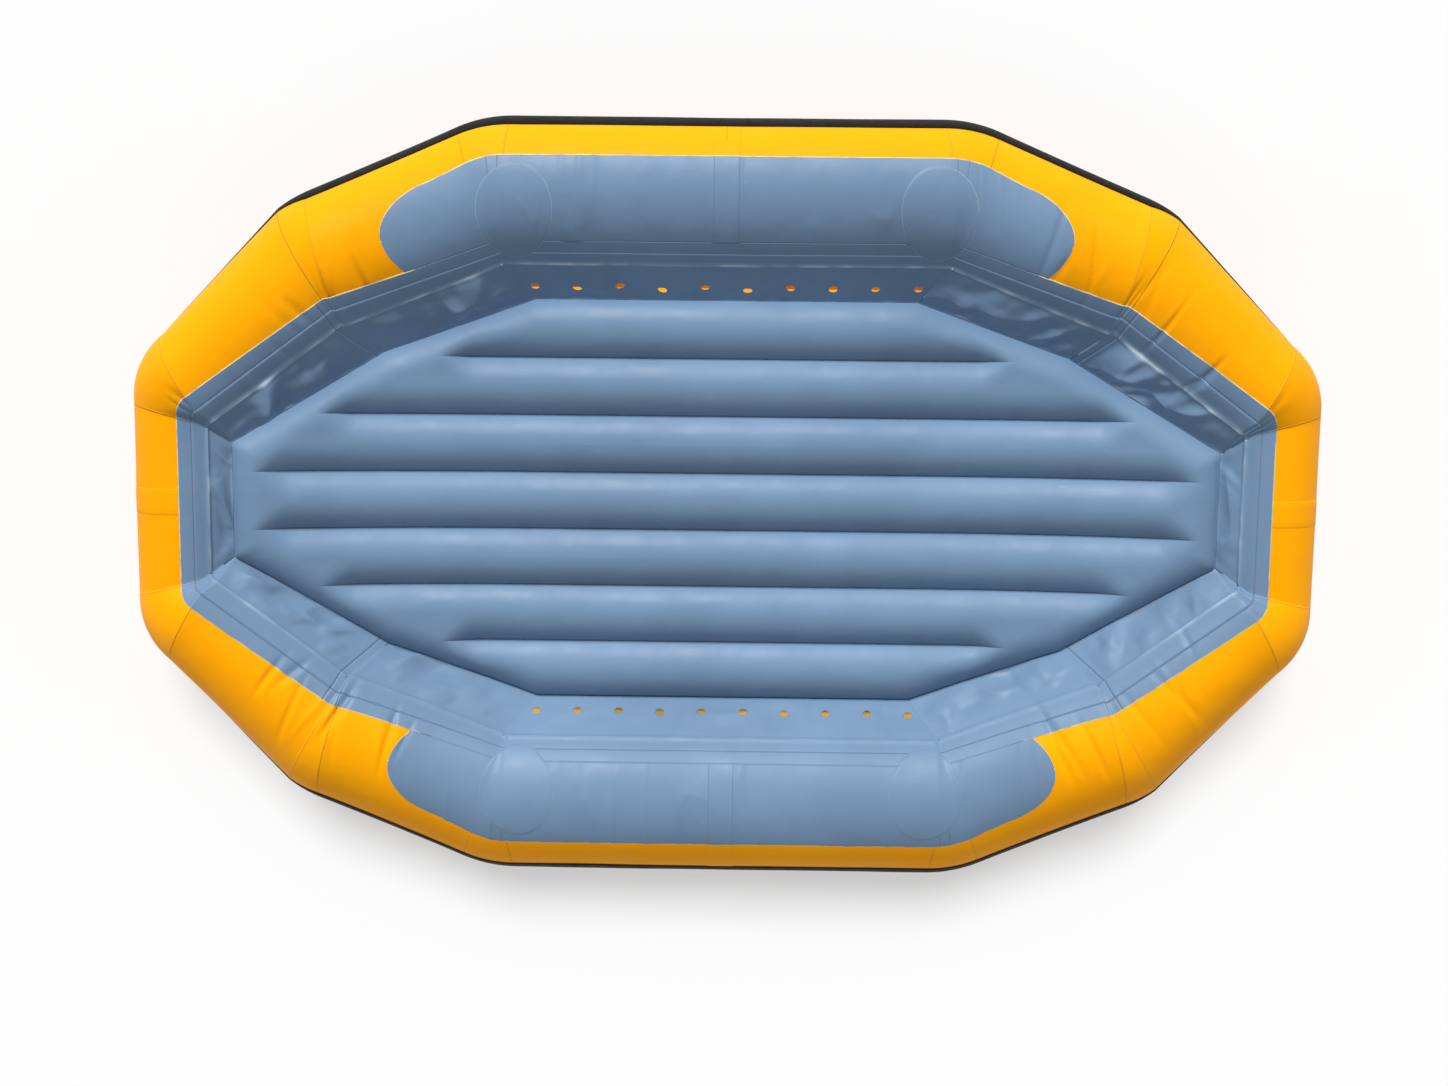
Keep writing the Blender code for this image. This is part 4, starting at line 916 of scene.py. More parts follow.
@dataclass(frozen=True)
class MouldedPlastic:
    """Dark moulded plastic with a fine spark-eroded grain and rubbed high spots."""

    name: str = "valve_plastic_grain"
    slot: str = "valve_plastic"
    colour: Colour = (0.10, 0.11, 0.12)
    rubbed: Colour = (0.17, 0.18, 0.19)
    grain_height: float = 0.00004
    specular: float = 0.45

    def make(self) -> Coat:
        """Build the material.

        Returns:
            The material with its slot.
        """
        r = Recipe(self.name)
        place = r.place()
        colour = r.mix(r.ramp(r.noise(place, 120.0, 3.0), 0.5, 0.8, 0.0, 0.7), self.colour, self.rubbed)
        normal = r.bump(r.noise(place, 2500.0, 1.0), self.grain_height)
        roughness = r.ramp(r.noise(place, 60.0, 2.0), 0.3, 0.7, 0.36, 0.5)
        return Coat(r.finish(colour, roughness, normal, Specular_IOR_Level=self.specular), self.slot)


TUBE_YELLOW = CoatedFabric(
    name="yellow_tube_fabric", slot="tube_fabric", colour=(0.96, 0.385, 0.001), deep=(0.94, 0.365, 0.001),
    edge=(0.98, 0.58, 0.08), worn=(1.0, 0.56, 0.05), roughness=0.5, specular=0.05)
SLATE_BLUE = CoatedFabric(
    name="slate_pad_fabric", slot="pad_fabric", colour=(0.155, 0.249, 0.380), deep=(0.141, 0.226, 0.346),
    edge=(0.72, 0.62, 0.30), worn=(0.50, 0.60, 0.70), roughness=0.45, specular=0.20, scuffs=0.25)
# Flap fabric: a darker, duller copy of the tube fabric, as painted shade, since only the air floor blocks the
# key lamp.
FLAP_PAINTED_SHADE = CoatedFabric(
    name="flap_fabric", slot="tube_fabric", colour=(0.50, 0.37, 0.11), deep=(0.34, 0.25, 0.08),
    edge=(0.54, 0.40, 0.14), worn=(0.56, 0.42, 0.16), roughness=0.55, specular=0.05)


@dataclass
class Wardrobe:
    """The finished materials, each made once."""

    tube: Coat = field(default_factory=TUBE_YELLOW.make)
    pad: Coat = field(default_factory=SLATE_BLUE.make)
    flap: Coat = field(default_factory=FLAP_PAINTED_SHADE.make)
    rubber: Coat = field(default_factory=RibbedRubber().make)
    plastic: Coat = field(default_factory=MouldedPlastic().make)


@dataclass(frozen=True)
class Wrinkle:
    """One pinched fold across the tube: depth * bell along the tube * bell round it."""

    place: float
    angle: float
    length: float
    width: float
    depth: float
    slant: float = 0.0


@dataclass
class Relief:
    """Unevenness shared by the tubes and everything bonded to them.

    Each bunch of wrinkles is a place in the quarter, its reach to both sides
    and a share of the depth.
    """

    ring: Ring
    dent_depth: float = 0.0014
    bunches: tuple[tuple[float, float, float], ...] = (
        (2.75, 0.35, 1.0), (3.5, 0.5, 0.35), (4.35, 0.30, 1.0), (5.5, 0.4, 0.45))
    bunch_wrinkles: int = 6
    wrinkle_angles: tuple[float, float] = (92.0, 128.0)
    wrinkle_lengths: tuple[float, float] = (12.0, 26.0)
    wrinkle_widths: tuple[float, float] = (0.006, 0.012)
    wrinkle_depths: tuple[float, float] = (-0.0100, 0.0035)
    wrinkle_slant: float = 0.06
    seed: int = 11

    def __post_init__(self) -> None:
        """Place the wrinkles and tabulate the distance along the ring."""
        table = np.linspace(0.0, FULL_RING, 40 * FULL_RING + 1)
        crest = self.ring.surface(table, np.full_like(table, math.pi / 2.0))
        self.table = (table, along_distance(crest[:, None, :])[:, 0])
        self.wrinkles = self._wrinkles()

    def distance(self, places: Array) -> Array:
        """Distance along the crest of the ring, in metres."""
        turns = np.floor(places / FULL_RING)
        return np.interp(places - turns * FULL_RING, *self.table) + turns * self.table[1][-1]

    def _wrinkles(self) -> list[Wrinkle]:
        """Small folds on the inboard side, in bunches.

        Returns:
            The wrinkles of all four quarters, in the order of their draws.
        """
        draw = np.random.default_rng(self.seed)
        found = []
        for quarter in range(4):
            for bunch, reach, size in self.bunches:
                middle = quarter * SEGMENTS + (bunch if quarter % 2 == 0 else SEGMENTS - bunch)
                for _ in range(self.bunch_wrinkles):
                    angle = math.radians(draw.uniform(*self.wrinkle_angles))
                    place = middle + draw.uniform(-reach, reach)
                    length = math.radians(draw.uniform(*self.wrinkle_lengths))
                    width = draw.uniform(*self.wrinkle_widths)
                    depth = size * draw.uniform(*self.wrinkle_depths)
                    slant = draw.uniform(-self.wrinkle_slant, self.wrinkle_slant)
                    found.append(Wrinkle(place, angle, length, width, depth, slant))
        return found

    def height(self, places: Array, angles: Array) -> Array:
        """Soft dents plus the wrinkles, fading out below.

        Args:
            places: Places along the ring.
            angles: Angles round the section.

        Returns:
            Heights off the smooth tube.
        """
        places, angles = np.broadcast_arrays(places, angles)
        run = self.distance(places)
        around = angles * self.ring.side_corner[1] / 3.0
        total = self.dent_depth * layered_noise(run / 0.30, around / 0.14 + 40.0, self.seed, 2)
        for w in self.wrinkles:
            offset = run - self.distance(np.array([w.place]))[0] - w.slant * (angles - w.angle)
            total = total + w.depth * bell(offset, w.width) * bell(angles - w.angle, w.length)
        return total * smooth_step(np.sin(angles), -0.6, 0.1)


@dataclass
class Skin:
    """What the tubes wear, and the tubes themselves: grids on the uneven ring."""

    ring: Ring
    relief: Relief
    dress: Wardrobe

    def layers(self, places: Array, angles: Array, *heights: Array | float) -> list[Array]:
        """Grids over the uneven tube, a row for each place and a grid for each height off it."""
        relief = self.relief.height(places[:, None], angles)
        return [self.ring.surface(places[:, None], angles, relief + height) for height in heights]

    @staticmethod
    def between(first: Array, last: Array, columns: int) -> Array:
        """Angles in even steps from one line to another, row by row."""
        return blend(first[:, None], last[:, None], np.linspace(0.0, 1.0, columns)[None, :])


@dataclass
class Tubes(Skin):
    """The four air chambers with their joint tapes, rub strakes and keel strips."""

    seats: list[tuple[Array, Array]]
    row_step: float = 0.006
    columns: int = 120
    end_inset: float = 1e-9  # places by which a chamber stays in its own quarter
    joint_gap: float = 0.00015
    tape_thickness: float = 0.0006
    tape_shares: tuple[float, ...] = (-1.0, -0.95, -0.5, 0.0, 0.5, 0.95, 1.0)
    strake_thickness: float = 0.0025
    strake_rim: float = 0.0004
    strake_grooves: tuple[float, ...] = (0.3, 0.7)
    groove_depth: float = 0.45
    groove_width: float = 0.03
    strake_columns: int = 41
    strake_step: float = 0.012
    strake_end: float = 5.0
    keel_step: float = 0.03
    keel_columns: int = 13
    keel_end: float = 1.0
    flat_radius: float = 0.036
    flat_fade: float = 0.075

    def turn(self) -> Array:
        """Angles once round the tube, from the keel over the inboard side, as one row."""
        return np.linspace(-math.pi / 2.0, 1.5 * math.pi, self.columns, endpoint=False)[None, :]

    def seated(self, points: Array) -> Array:
        """Points pressed down to the flat seats of the valves.

        Args:
            points: Points on a tube.

        Returns:
            The same points, none above a seat within its flat radius.
        """
        for seat, outward in self.seats:
            arm = points - seat
            over = arm @ outward
            aside = np.linalg.norm(arm - over[..., None] * outward, axis=-1)
            share = 1.0 - smooth_step(aside, self.flat_radius, self.flat_fade)
            points = points - (np.maximum(over, 0.0) * share)[..., None] * outward
        return points

    def mitre_marks(self, places: Array, grid: Array) -> dict[str, Array]:
        """Marks for the welded tapes over the bends, between two lines each.

        Args:
            places: Places of the grid's rows.
            grid: Points on the tube.

        Returns:
            Marks "seam" on the lines and "tape" between them.
        """
        run = along_distance(grid)
        rows = self.ring.bend_rows(places)
        inside = [np.minimum(run - run[low], run[high] - run) for low, high in zip(rows[0::2], rows[1::2])]
        return {"seam": nearness(row_gap(run, rows)),
                "tape": np.clip(0.5 + np.max(inside, axis=0) / MARK_REACH, 0.0, 1.0)}

    def chamber(self, index: int, quarter: Quarter) -> Piece:
        """One quarter of the ring as an inflated, capped tube.

        Args:
            index: Its number along the ring.
            quarter: Its name and signs.

        Returns:
            The piece.
        """
        inset = self.end_inset
        places = self.ring.places(index * SEGMENTS + inset, (index + 1) * SEGMENTS - inset, self.row_step)
        grid = self.seated(self.layers(places, self.turn(), 0.0)[0])
        for row, axis in ((0, index % 2), (-1, 1 - index % 2)):
            grid[row, :, axis] = math.copysign(self.joint_gap, quarter.value[axis])
        made = capped_pipe(grid, self.mitre_marks(places, grid)).to_object(
            f"tube_{quarter.label}", self.dress.tube, f"chamber_{quarter.label}")
        return made

    def joint_tape(self, name: str, middle: float) -> Piece:
        """Tape round the tube over the joint of two chambers, with thinned edges.

        Args:
            name: Side or end.
            middle: Place of the joint.

        Returns:
            The piece.
        """
        half = self.ring.tape_half_width
        shares = np.array(self.tape_shares)
        at_side = middle in (Side.PORT.middle, Side.STARBOARD.middle)
        place_per_metre = 0.5 / (self.ring.side_corner[0] / 2.0) if at_side else 0.5 / half
        places = middle + shares * half * place_per_metre
        thick = self.tape_thickness * np.clip((1.0 - np.abs(shares)) / 0.05, 0.2, 1.0)[:, None]
        grids = self.layers(places, self.turn(), self.ring.tape_layer + thick, self.ring.tape_layer)
        return closed_sheet(*grids, wrap=True).to_object(
            f"joint_tape_{name}", self.dress.tube, f"seam_tape_{name}")

    def strake(self, side: Side) -> Piece:
        """Black rubbing strake: crowned across, with two grooves along it.

        Args:
            side: Long side.

        Returns:
            The piece.
        """
        places = self.ring.around(side.middle, self.strake_end, self.strake_step)
        lines = (self.ring.angle(line, places) for line in (Line.STRAKE_LOW, Line.STRAKE_HIGH))
        angles = self.between(*lines, self.strake_columns)
        share = np.linspace(0.0, 1.0, self.strake_columns)[None, :]
        profile = 1.0 - (2.0 * share - 1.0) ** 10
        for groove in self.strake_grooves:
            profile = profile - self.groove_depth * bell(share - groove, self.groove_width)
        lift = self.strake_rim + (self.strake_thickness - self.strake_rim) * profile
        grids = self.layers(places, angles, self.ring.trim_layer + lift, self.ring.trim_layer)
        return closed_sheet(*grids).to_object(
            f"rubbing_strake_{side.label}", self.dress.rubber, f"rub_strake_{side.label}")

    def keel_strip(self, side: Side) -> Piece:
        """Flat rubber strip under the side tube, on which the raft stands.

        Args:
            side: Long side.

        Returns:
            The piece.
        """
        places = self.ring.around(side.middle, self.keel_end, self.keel_step)
        half = math.radians(self.ring.keel_half_facet)
        angles = 1.5 * math.pi + np.linspace(-half, half, self.keel_columns)[None, :]
        grids = [self.ring.surface(places[:, None], angles, height)
                 for height in (self.ring.keel_layer, self.ring.trim_layer)]
        return closed_sheet(*grids).to_object(
            f"keel_rubber_{side.label}", self.dress.rubber, f"keel_strip_{side.label}")

    def build(self) -> list[Piece]:
        """Build all pieces of the tubes.

        Returns:
            The pieces.
        """
        made = [self.chamber(i, quarter) for i, quarter in enumerate(Quarter)]
        made += [self.joint_tape(name, middle) for name, middle in MIDDLES.items()]
        made += [self.strake(side) for side in Side]
        return made + [self.keel_strip(side) for side in Side]


@dataclass
class Trim(Skin):
    """Blue-grey wear pads, their round patches and the bonded bands."""

    pad_thickness: float = 0.0020
    pad_reach: float = 0.160
    pad_inset: float = 0.017
    pad_end_length: float = 0.143
    pad_outboard_width: float = 0.096
    pad_inboard_width: float = 0.148
    pad_columns: int = 48
    pad_step: float = 0.008
    pad_end_rows: int = 60
    patch_centre: tuple[float, float] = (0.552, 0.768)
    patch_half_length: float = 0.101
    patch_half_width: float = 0.117
    patch_thickness: float = 0.0012
    patch_slope: float = 0.955
    # Strength of the painted highlight on the rims of the port patches.
    patch_paleness: float = 0.45
    patch_flat: tuple[float, float] = (1.02, 1.15)  # flat length and width over those in plan
    band_thickness: float = 0.0015
    band_joint: float = 4.05
    band_gap: float = 0.0004
    band_columns: int = 13
    band_step: float = 0.006
    tape_ridge: float = 0.0016
    fold_height: float = 0.0026
    lines_under: tuple[float, ...] = (1.12, 1.42)

    def pad_limits(self, places: Array) -> tuple[Array, Array]:
        """Outboard and inboard angles of a wear pad, with half ellipses as its ends.

        Args:
            places: Places along the ring, symmetric about mid side.

        Returns:
            Two arrays of angles, outboard edge first.
        """
        folded = self.ring.fold(places)[0]
        radius = self.ring.radius(places)
        middle = np.arccos(-self.pad_inset / radius)
        line = self.ring.surface(folded, middle)[:, :2]
        bend = self.ring.surface(np.array([1.5]), np.array([math.pi / 2.0]))[0, :2]
        run = np.subtract(self.ring.shoulder_corner, self.ring.side_corner)
        run = run / np.linalg.norm(run)
        beyond = (line - bend) @ run - self.pad_reach
        ellipse = np.sqrt(np.clip(1.0 - (np.maximum(beyond, 0.0) / self.pad_end_length) ** 2, 0.0, 1.0))
        start = radius * np.cos(self.ring.angle(Line.PAD_OUTER, places)) + self.pad_inset
        share = smooth_step(beyond, -1.3 * self.pad_reach, 0.0)
        outboard = blend(start, self.pad_outboard_width, share) * ellipse - self.pad_inset
        inboard = -self.pad_inboard_width * ellipse - self.pad_inset
        inner = np.arccos(np.clip(inboard / radius, -1.0, 1.0))
        return np.arccos(outboard / radius), np.minimum(inner, self.beside(Line.BAND_OUTER, places))

    def beside(self, line: Line, places: Array) -> Array:
        """Angle just outboard of a line, short of it by the gap between bonded pieces."""
        return self.ring.angle(line, places) - BONDED_GAP / self.ring.radius(places)

    def pad_tip(self) -> float:
        """Find the tip of a pad's round end.

        Returns:
            Its place along the ring.
        """
        places = np.linspace(2.0, 3.0, 2001)
        outer, inner = self.pad_limits(places)
        return float(places[np.argmax(inner - outer <= HAIR)])

    def pad(self, side: Side) -> Piece:
        """Wear pad over the upper inboard side of a side tube, its rows crowded at both tips.

        Args:
            side: Long side.

        Returns:
            The piece.
        """
        turn = np.linspace(0.0, math.pi / 2.0, self.pad_end_rows)[1:]
        end = 2.0 + (self.pad_tip() - 2.0) * np.sin(turn)
        half = np.concatenate([self.ring.places(0.0, 2.0, self.pad_step), end])
        places = side.middle + np.concatenate([-half[::-1], half[1:]])
        outer, inner = self.pad_limits(places)
        angles = self.between(outer, inner, self.pad_columns)
        relief = self.relief.height(places[:, None], angles) + self.ring.trim_layer
        lower = self.ring.surface(places[:, None], angles, relief)
        tape_half = self.ring.tape_half_width
        tape = 1.0 - smooth_step(np.abs(lower[..., 0]), tape_half - 0.002, tape_half + 0.003)
        lift = self.pad_thickness + self.tape_ridge * tape + self.folds(lower, 3 + int(side is Side.PORT))
        upper = self.ring.surface(places[:, None], angles, relief + lift)
        at_band = (inner >= self.beside(Line.BAND_OUTER, places) - HAIR)[:, None]
        edge = np.minimum(across_distance(upper), border_gap(upper) + 1.0 * at_band)
        joint = np.abs(np.abs(upper[..., 0]) - tape_half + 0.002)
        rows = [int(np.argmin(np.abs(places - side.middle - sign * line)))
                for line in self.lines_under for sign in (-1.0, 1.0)]
        joint = np.minimum(joint, row_gap(along_distance(upper), rows))
        form = closed_sheet(upper, lower, {"edge": nearness(edge), "seam": 0.95 * nearness(joint)})
        made = form.to_object(f"wear_panel_{side.label}", self.dress.pad,
                              f"wear_pad_{side.label}", merge=1e-5)
        return taut_sheet(made, upper)

    def folds(self, grid: Array, seed: int) -> Array:
        """Shallow folds in a bonded panel, where a noise crosses zero and a slower one is high.

        Args:
            grid: Points of the panel.
            seed: Number that fixes the noise.

        Returns:
            Heights of the folds.
        """
        x, across = grid[..., 0], across_distance(grid)
        wave = lattice_noise(x / 0.045, across / 0.30, seed)
        where = smooth_step(lattice_noise(x / 0.22 + 9.0, across / 0.2, seed + 5), 0.05, 0.55)
        return self.fold_height * where * np.maximum(0.0, 1.0 - np.abs(wave) * 2.6) ** 1.5

    def patch(self, quarter: Quarter) -> Piece:
        """Round patch over a pad's corner: an ellipse in plan with a thinned edge.

        Args:
            quarter: Where it lies.

        Returns:
            The piece.
        """
        shares = np.concatenate([np.linspace(0.0, 0.93, 24), [self.patch_slope, 0.975, 0.99, 1.0]])
        turns = np.linspace(0.0, 2.0 * math.pi, 96, endpoint=False)
        share, turn = np.meshgrid(shares, turns, indexing="ij")
        x = self.patch_centre[0] + self.patch_half_length * share * np.cos(turn)
        y = self.patch_centre[1] + self.patch_half_width * share * np.sin(turn)
        places, angles = self.ring.place_of(x, y)
        thick = self.patch_thickness * (1.0 - smooth_step(share, self.patch_slope, 1.0) * 0.9)
        relief = self.relief.height(quarter.place(places), angles) + self.ring.patch_layer
        upper, lower = (self.ring.surface(places, angles, relief + lift) * np.array([*quarter.value, 1.0])
                        for lift in (thick, 0.0))
        gap = np.linalg.norm(upper - upper[-1:], axis=-1)
        both = np.concatenate([upper, lower[::-1]])
        plan = np.stack([x, y], axis=-1)
        rim = np.concatenate([gap, gap[::-1]]).ravel()
        # Painted highlight on the rims of the port patches only, where the light catches them.
        rubbed = self.patch_paleness if quarter.value[1] > 0.0 else 0.0
        form = Form(both.reshape(-1, 3), cell_faces(*both.shape[:2], wrap=True),
                    uv=np.concatenate([plan, plan[::-1]]).reshape(-1, 2),
                    marks={"seam": nearness(rim), "worn": rubbed * bell(rim, 0.0016)})
        made = form.to_object(f"round_patch_{quarter.label}", self.dress.pad,
                              f"corner_patch_{quarter.label}", merge=2e-5)
        sheet_size(np.concatenate([upper, upper[:, :1]], axis=1))[2]
        return made

    def band(self, name: str, reach: float) -> Piece:
        """Bonded band between the pad or bare tube and the curtain's flange.

        Args:
            name: Side or end.
            reach: Places that it runs to both sides of its middle.

        Returns:
            The piece.
        """
        places = self.ring.around(MIDDLES[name], reach, self.band_step)
        outer, inner = self.ring.angle(Line.BAND_OUTER, places), self.beside(Line.FLANGE_OUTER, places)
        angles = self.between(outer, inner, self.band_columns)
        trim = self.ring.trim_layer
        upper, lower = self.layers(places, angles, trim + self.band_thickness, trim)
        under_pad = smooth_step(2.45 - self.ring.fold(places)[0], -0.05, 0.05)[:, None]
        line = nearness(across_distance(upper))
        tapes = nearness(row_gap(along_distance(upper), self.ring.bend_rows(places)))
        marks = {"edge": line * (1.0 - under_pad), "seam": np.maximum(line * under_pad, tapes)}
        made = closed_sheet(upper, lower, marks).to_object(
            f"tape_band_{name}", self.dress.pad, f"bonded_band_{name}")
        return taut_sheet(made, upper)

    def build(self) -> list[Piece]:
        """Build all pieces of the trim.

        Returns:
            The pieces.
        """
        made = [self.pad(side) for side in Side]
        made += [self.patch(quarter) for quarter in Quarter]
        ends = reaches(self.band_joint, self.band_gap)
        return made + [self.band(name, reach) for name, reach in ends.items()]


def combined(piece: Piece, tool: Piece, operation: str = "DIFFERENCE") -> None:
    """Cut a tool out of a piece, or unite the two, and delete the tool.

    Args:
        piece: The piece, whose mesh changes.
        tool: The tool.
        operation: DIFFERENCE or UNION.
    """
    modifier = piece.modifiers.new("join", "BOOLEAN")
    modifier.operation, modifier.solver, modifier.object = operation, "EXACT", tool
    graph = bpy.context.evaluated_depsgraph_get()
    mesh = bpy.data.meshes.new_from_object(piece.evaluated_get(graph), preserve_all_data_layers=True,
                                           depsgraph=graph)
    piece.modifiers.clear()
    old, piece.data = piece.data, mesh
    bpy.data.meshes.remove(old)
    waste = tool.data
    bpy.data.objects.remove(tool)
    bpy.data.meshes.remove(waste)
    piece.data.shade_smooth()


def loose_tool(name: str, work: bmesh.types.BMesh) -> Piece:
    """Object made from a bmesh, only to be joined to or cut from a piece.

    Args:
        name: Name for the tool.
        work: Its shape, which is freed.

    Returns:
        The tool.
    """
    mesh = bpy.data.meshes.new(name)
    work.to_mesh(mesh)
    work.free()
    return linked(name, mesh)


def rod(radius: float, low: Array, high: Array, sides: int = 48) -> Piece:
    """Round rod between two points, as a tool.

    Args:
        radius: Its radius.
        low: Middle of one end.
        high: Middle of the other end.
        sides: Number of facets.

    Returns:
        The tool.
    """
    work = bmesh.new()
    axis = Vector(high) - Vector(low)
    turn = axis.to_track_quat("Z", "Y").to_matrix().to_4x4()
    place = Matrix.Translation((Vector(low) + Vector(high)) / 2.0) @ turn
    bmesh.ops.create_cone(work, cap_ends=True, segments=sides, radius1=radius, radius2=radius,
                          depth=axis.length, matrix=place)
    return loose_tool("rod", work)


def rounded_bar(size: tuple[float, float, float], centre: tuple[float, float, float], radius: float,
                place: Matrix) -> Piece:
    """Box with rounded edges, as a tool.

    Args:
        size: Its three sides.
        centre: Its middle in the fitting's frame.
        radius: Rounding of the edges.
        place: The fitting's frame.

    Returns:
        The tool.
    """
    work = bmesh.new()
    bmesh.ops.create_cube(work, size=1.0, matrix=Matrix.Translation(centre) @ Matrix.Diagonal((*size, 1.0)))
    bmesh.ops.bevel(work, geom=work.edges[:], offset=radius, segments=3, profile=0.5, affect="EDGES")
    bmesh.ops.transform(work, matrix=place, verts=work.verts)
    return loose_tool("bar", work)


@dataclass
class Curtains(Skin):
    """Fabric from the bands down to the air floor, with drain holes in both long sides.

    From the crease a straight line runs down to the floor's edge. Crumples are
    noise that fades out at both, and a rolled bead stands along the crease.
    """

    thickness: float = 0.0012
    joint: float = 4.05
    joint_gap: float = 0.0001
    row_step: float = 0.006
    flange_steps: int = 7
    drop_steps: int = 34
    holes: int = 10
    hole_radius: float = 0.012
    hole_pitch: float = 0.114
    hole_depth_share: float = 0.62
    bead_height: float = 0.0048
    bead_width: float = 0.0054
    crumple_knots: tuple[float, ...] = (
        0.0, 0.9, 1.0, 2.0, 2.2, 2.8, 3.0, 4.08, 4.25, 4.85, 5.0, 6.0, 6.3, 7.0)
    side_crumple: float = 0.0110
    run_crumple: float = 0.0320
    end_crumple: float = 0.0130
    bend_crumple: float = 0.001
    upright_part: float = 0.90
    pulled_part: float = 0.40
    across_part: float = 0.20
    even_part: float = 0.08
    port_slack: float = 1.7
    # Widths of the painted highlight along the crease and along the foot, and the foot's share of it.
    crease_rub_width: float = 0.0036
    foot_rub_width: float = 0.006
    foot_rub: float = 0.7
    flap_half_length: float = 0.62
    flap_angle: float = 176.0
    flap_lift: float = 0.0004
    flap_foot: tuple[float, float] = (0.0352, 0.050)
    flap_sag: float = 0.004
    flap_ripple: float = 0.0025

    def crumple(self, places: Array, share: Array, depth: Array) -> Array:
        """Displacement of the drop: three noises, sized by the place, that fade at both edges.

        Args:
            places: Places along the ring.
            share: How far down, 0 at the crease to 1 at the floor.
            depth: Length of the drop at each place.

        Returns:
            Heights towards the middle of the raft.
        """
        side, run, end, bend = self.side_crumple, self.run_crumple, self.end_crumple, self.bend_crumple
        sizes = [side, side, bend, bend, run, run, bend, bend, run, run, bend, bend, end, end]
        size = np.interp(self.ring.fold(places)[0], self.crumple_knots, sizes)
        along = self.relief.distance(places)
        upright = layered_noise(along / 0.085 + 0.5 * share, share * 0.6 + 3.0, 21, 2)
        pulled = 1.0 - 2.2 * np.abs(lattice_noise(along / 0.11 + 0.8 * share, share * 0.9 + 5.0, 25))
        across = layered_noise(along / 0.140, share * depth / 0.050, 31, 2)
        slack = lattice_noise(along / 0.30, share * 0.0 + 7.0, 41) * 0.5 + 0.75
        fade = np.sin(math.pi * share) ** 0.7
        to_port = smooth_step(np.cos(2.0 * math.pi * places / FULL_RING), 0.1, 0.5)
        size = size * (1.0 + (self.port_slack - 1.0) * to_port)
        folds = (self.upright_part * upright + self.pulled_part * pulled + self.across_part * across
                 + self.even_part)
        height = size * slack * folds * fade
        return np.where(height < 0.0, height * smooth_step(share, 0.2, 0.8), height)

    def faces(self, places: Array) -> tuple[Array, Array, dict[str, Array]]:
        """Both faces of the curtain with its flange.

        Args:
            places: Places along the ring, one for each row.

        Returns:
            Grids of the upper and the lower face, and the painted highlight mark on them.
        """
        lines = (self.ring.angle(line, places) for line in (Line.FLANGE_OUTER, Line.CREASE))
        flange = self.layers(places, self.between(*lines, self.flange_steps + 1),
                             self.ring.trim_layer + self.thickness)[0]
        down = np.linspace(0.0, 1.0, self.drop_steps + 1)[None, 1:, None]
        top, foot = flange[:, -1:], self.ring.foot(places)[:, None]
        upper = np.concatenate([flange, blend(top, foot, down)], axis=1)
        normal = grid_normals(upper)
        normal = normal * np.sign(normal[..., 2:3])
        lift = np.concatenate([np.zeros(flange.shape[:2]), self.crumple(
            places[:, None], down[..., 0], np.linalg.norm(foot - top, axis=-1))], axis=1)
        distance = across_distance(upper)
        from_crease = distance - distance[:, self.flange_steps:self.flange_steps + 1]
        lift = lift + self.bead_height * bell(from_crease, self.bead_width)
        upper = upper + lift[..., None] * normal
        run = self.relief.distance(places)[:, None]
        # Painted highlight: pale lines along the crease bead and the curtain's foot, broken up by noise.
        # Strong on the port side, faint on the starboard side and at the ends, as the light falls there.
        rubbed = np.clip(0.62 + 0.5 * lattice_noise(run / 0.035, 0.0 * run, 51), 0.25, 1.0)
        shaded = np.interp(top[:, 0, 1], [-0.45, 0.0], [0.08, 1.0])
        shaded = shaded * np.interp(self.ring.fold(places)[0], [4.9, 5.4], [1.0, 0.35])
        rim = np.maximum(bell(from_crease, self.crease_rub_width),
                         self.foot_rub * bell(distance[:, -1:] - distance, self.foot_rub_width))
        return upper, upper - self.thickness * normal, {"worn": rubbed * shaded[:, None] * rim}

    def panel(self, name: str, reach: float) -> Piece:
        """One curtain, with its holes where it is a side one.

        Args:
            name: Side or end.
            reach: Places that it runs to both sides of its middle.

        Returns:
            The piece.
        """
        places = self.ring.around(MIDDLES[name], reach, self.row_step)
        upper, lower, marks = self.faces(places)
        made = closed_sheet(upper, lower, marks).to_object(
            f"curtain_cloth_{name}", self.dress.pad, f"curtain_{name}")
        for side in (side for side in Side if side.label == name):
            self.pierce(made, side.value)
        return taut_sheet(made, upper)

    def pierce(self, piece: Piece, sign: float) -> None:
        """Cut the row of round drain holes square to the curtain.

        Args:
            piece: The curtain.
            sign: Sign of its Y.
        """
        middle = np.zeros(1)
        crease = self.ring.surface(middle, self.ring.angle(Line.CREASE, middle), self.thickness)[0]
        run = self.ring.foot(middle)[0] - crease
        centre = crease + run * self.hole_depth_share
        normal = np.array([0.0, -run[2], run[1]]) / np.hypot(run[1], run[2])
        flip = np.array([1.0, sign, 1.0])
        for hole in range(self.holes):
            along = np.array([(hole - (self.holes - 1) / 2.0) * self.hole_pitch, 0.0, 0.0])
            ends = [(centre + along + normal * reach) * flip for reach in (-0.02, 0.02)]
            combined(piece, rod(self.hole_radius, *ends, sides=32))

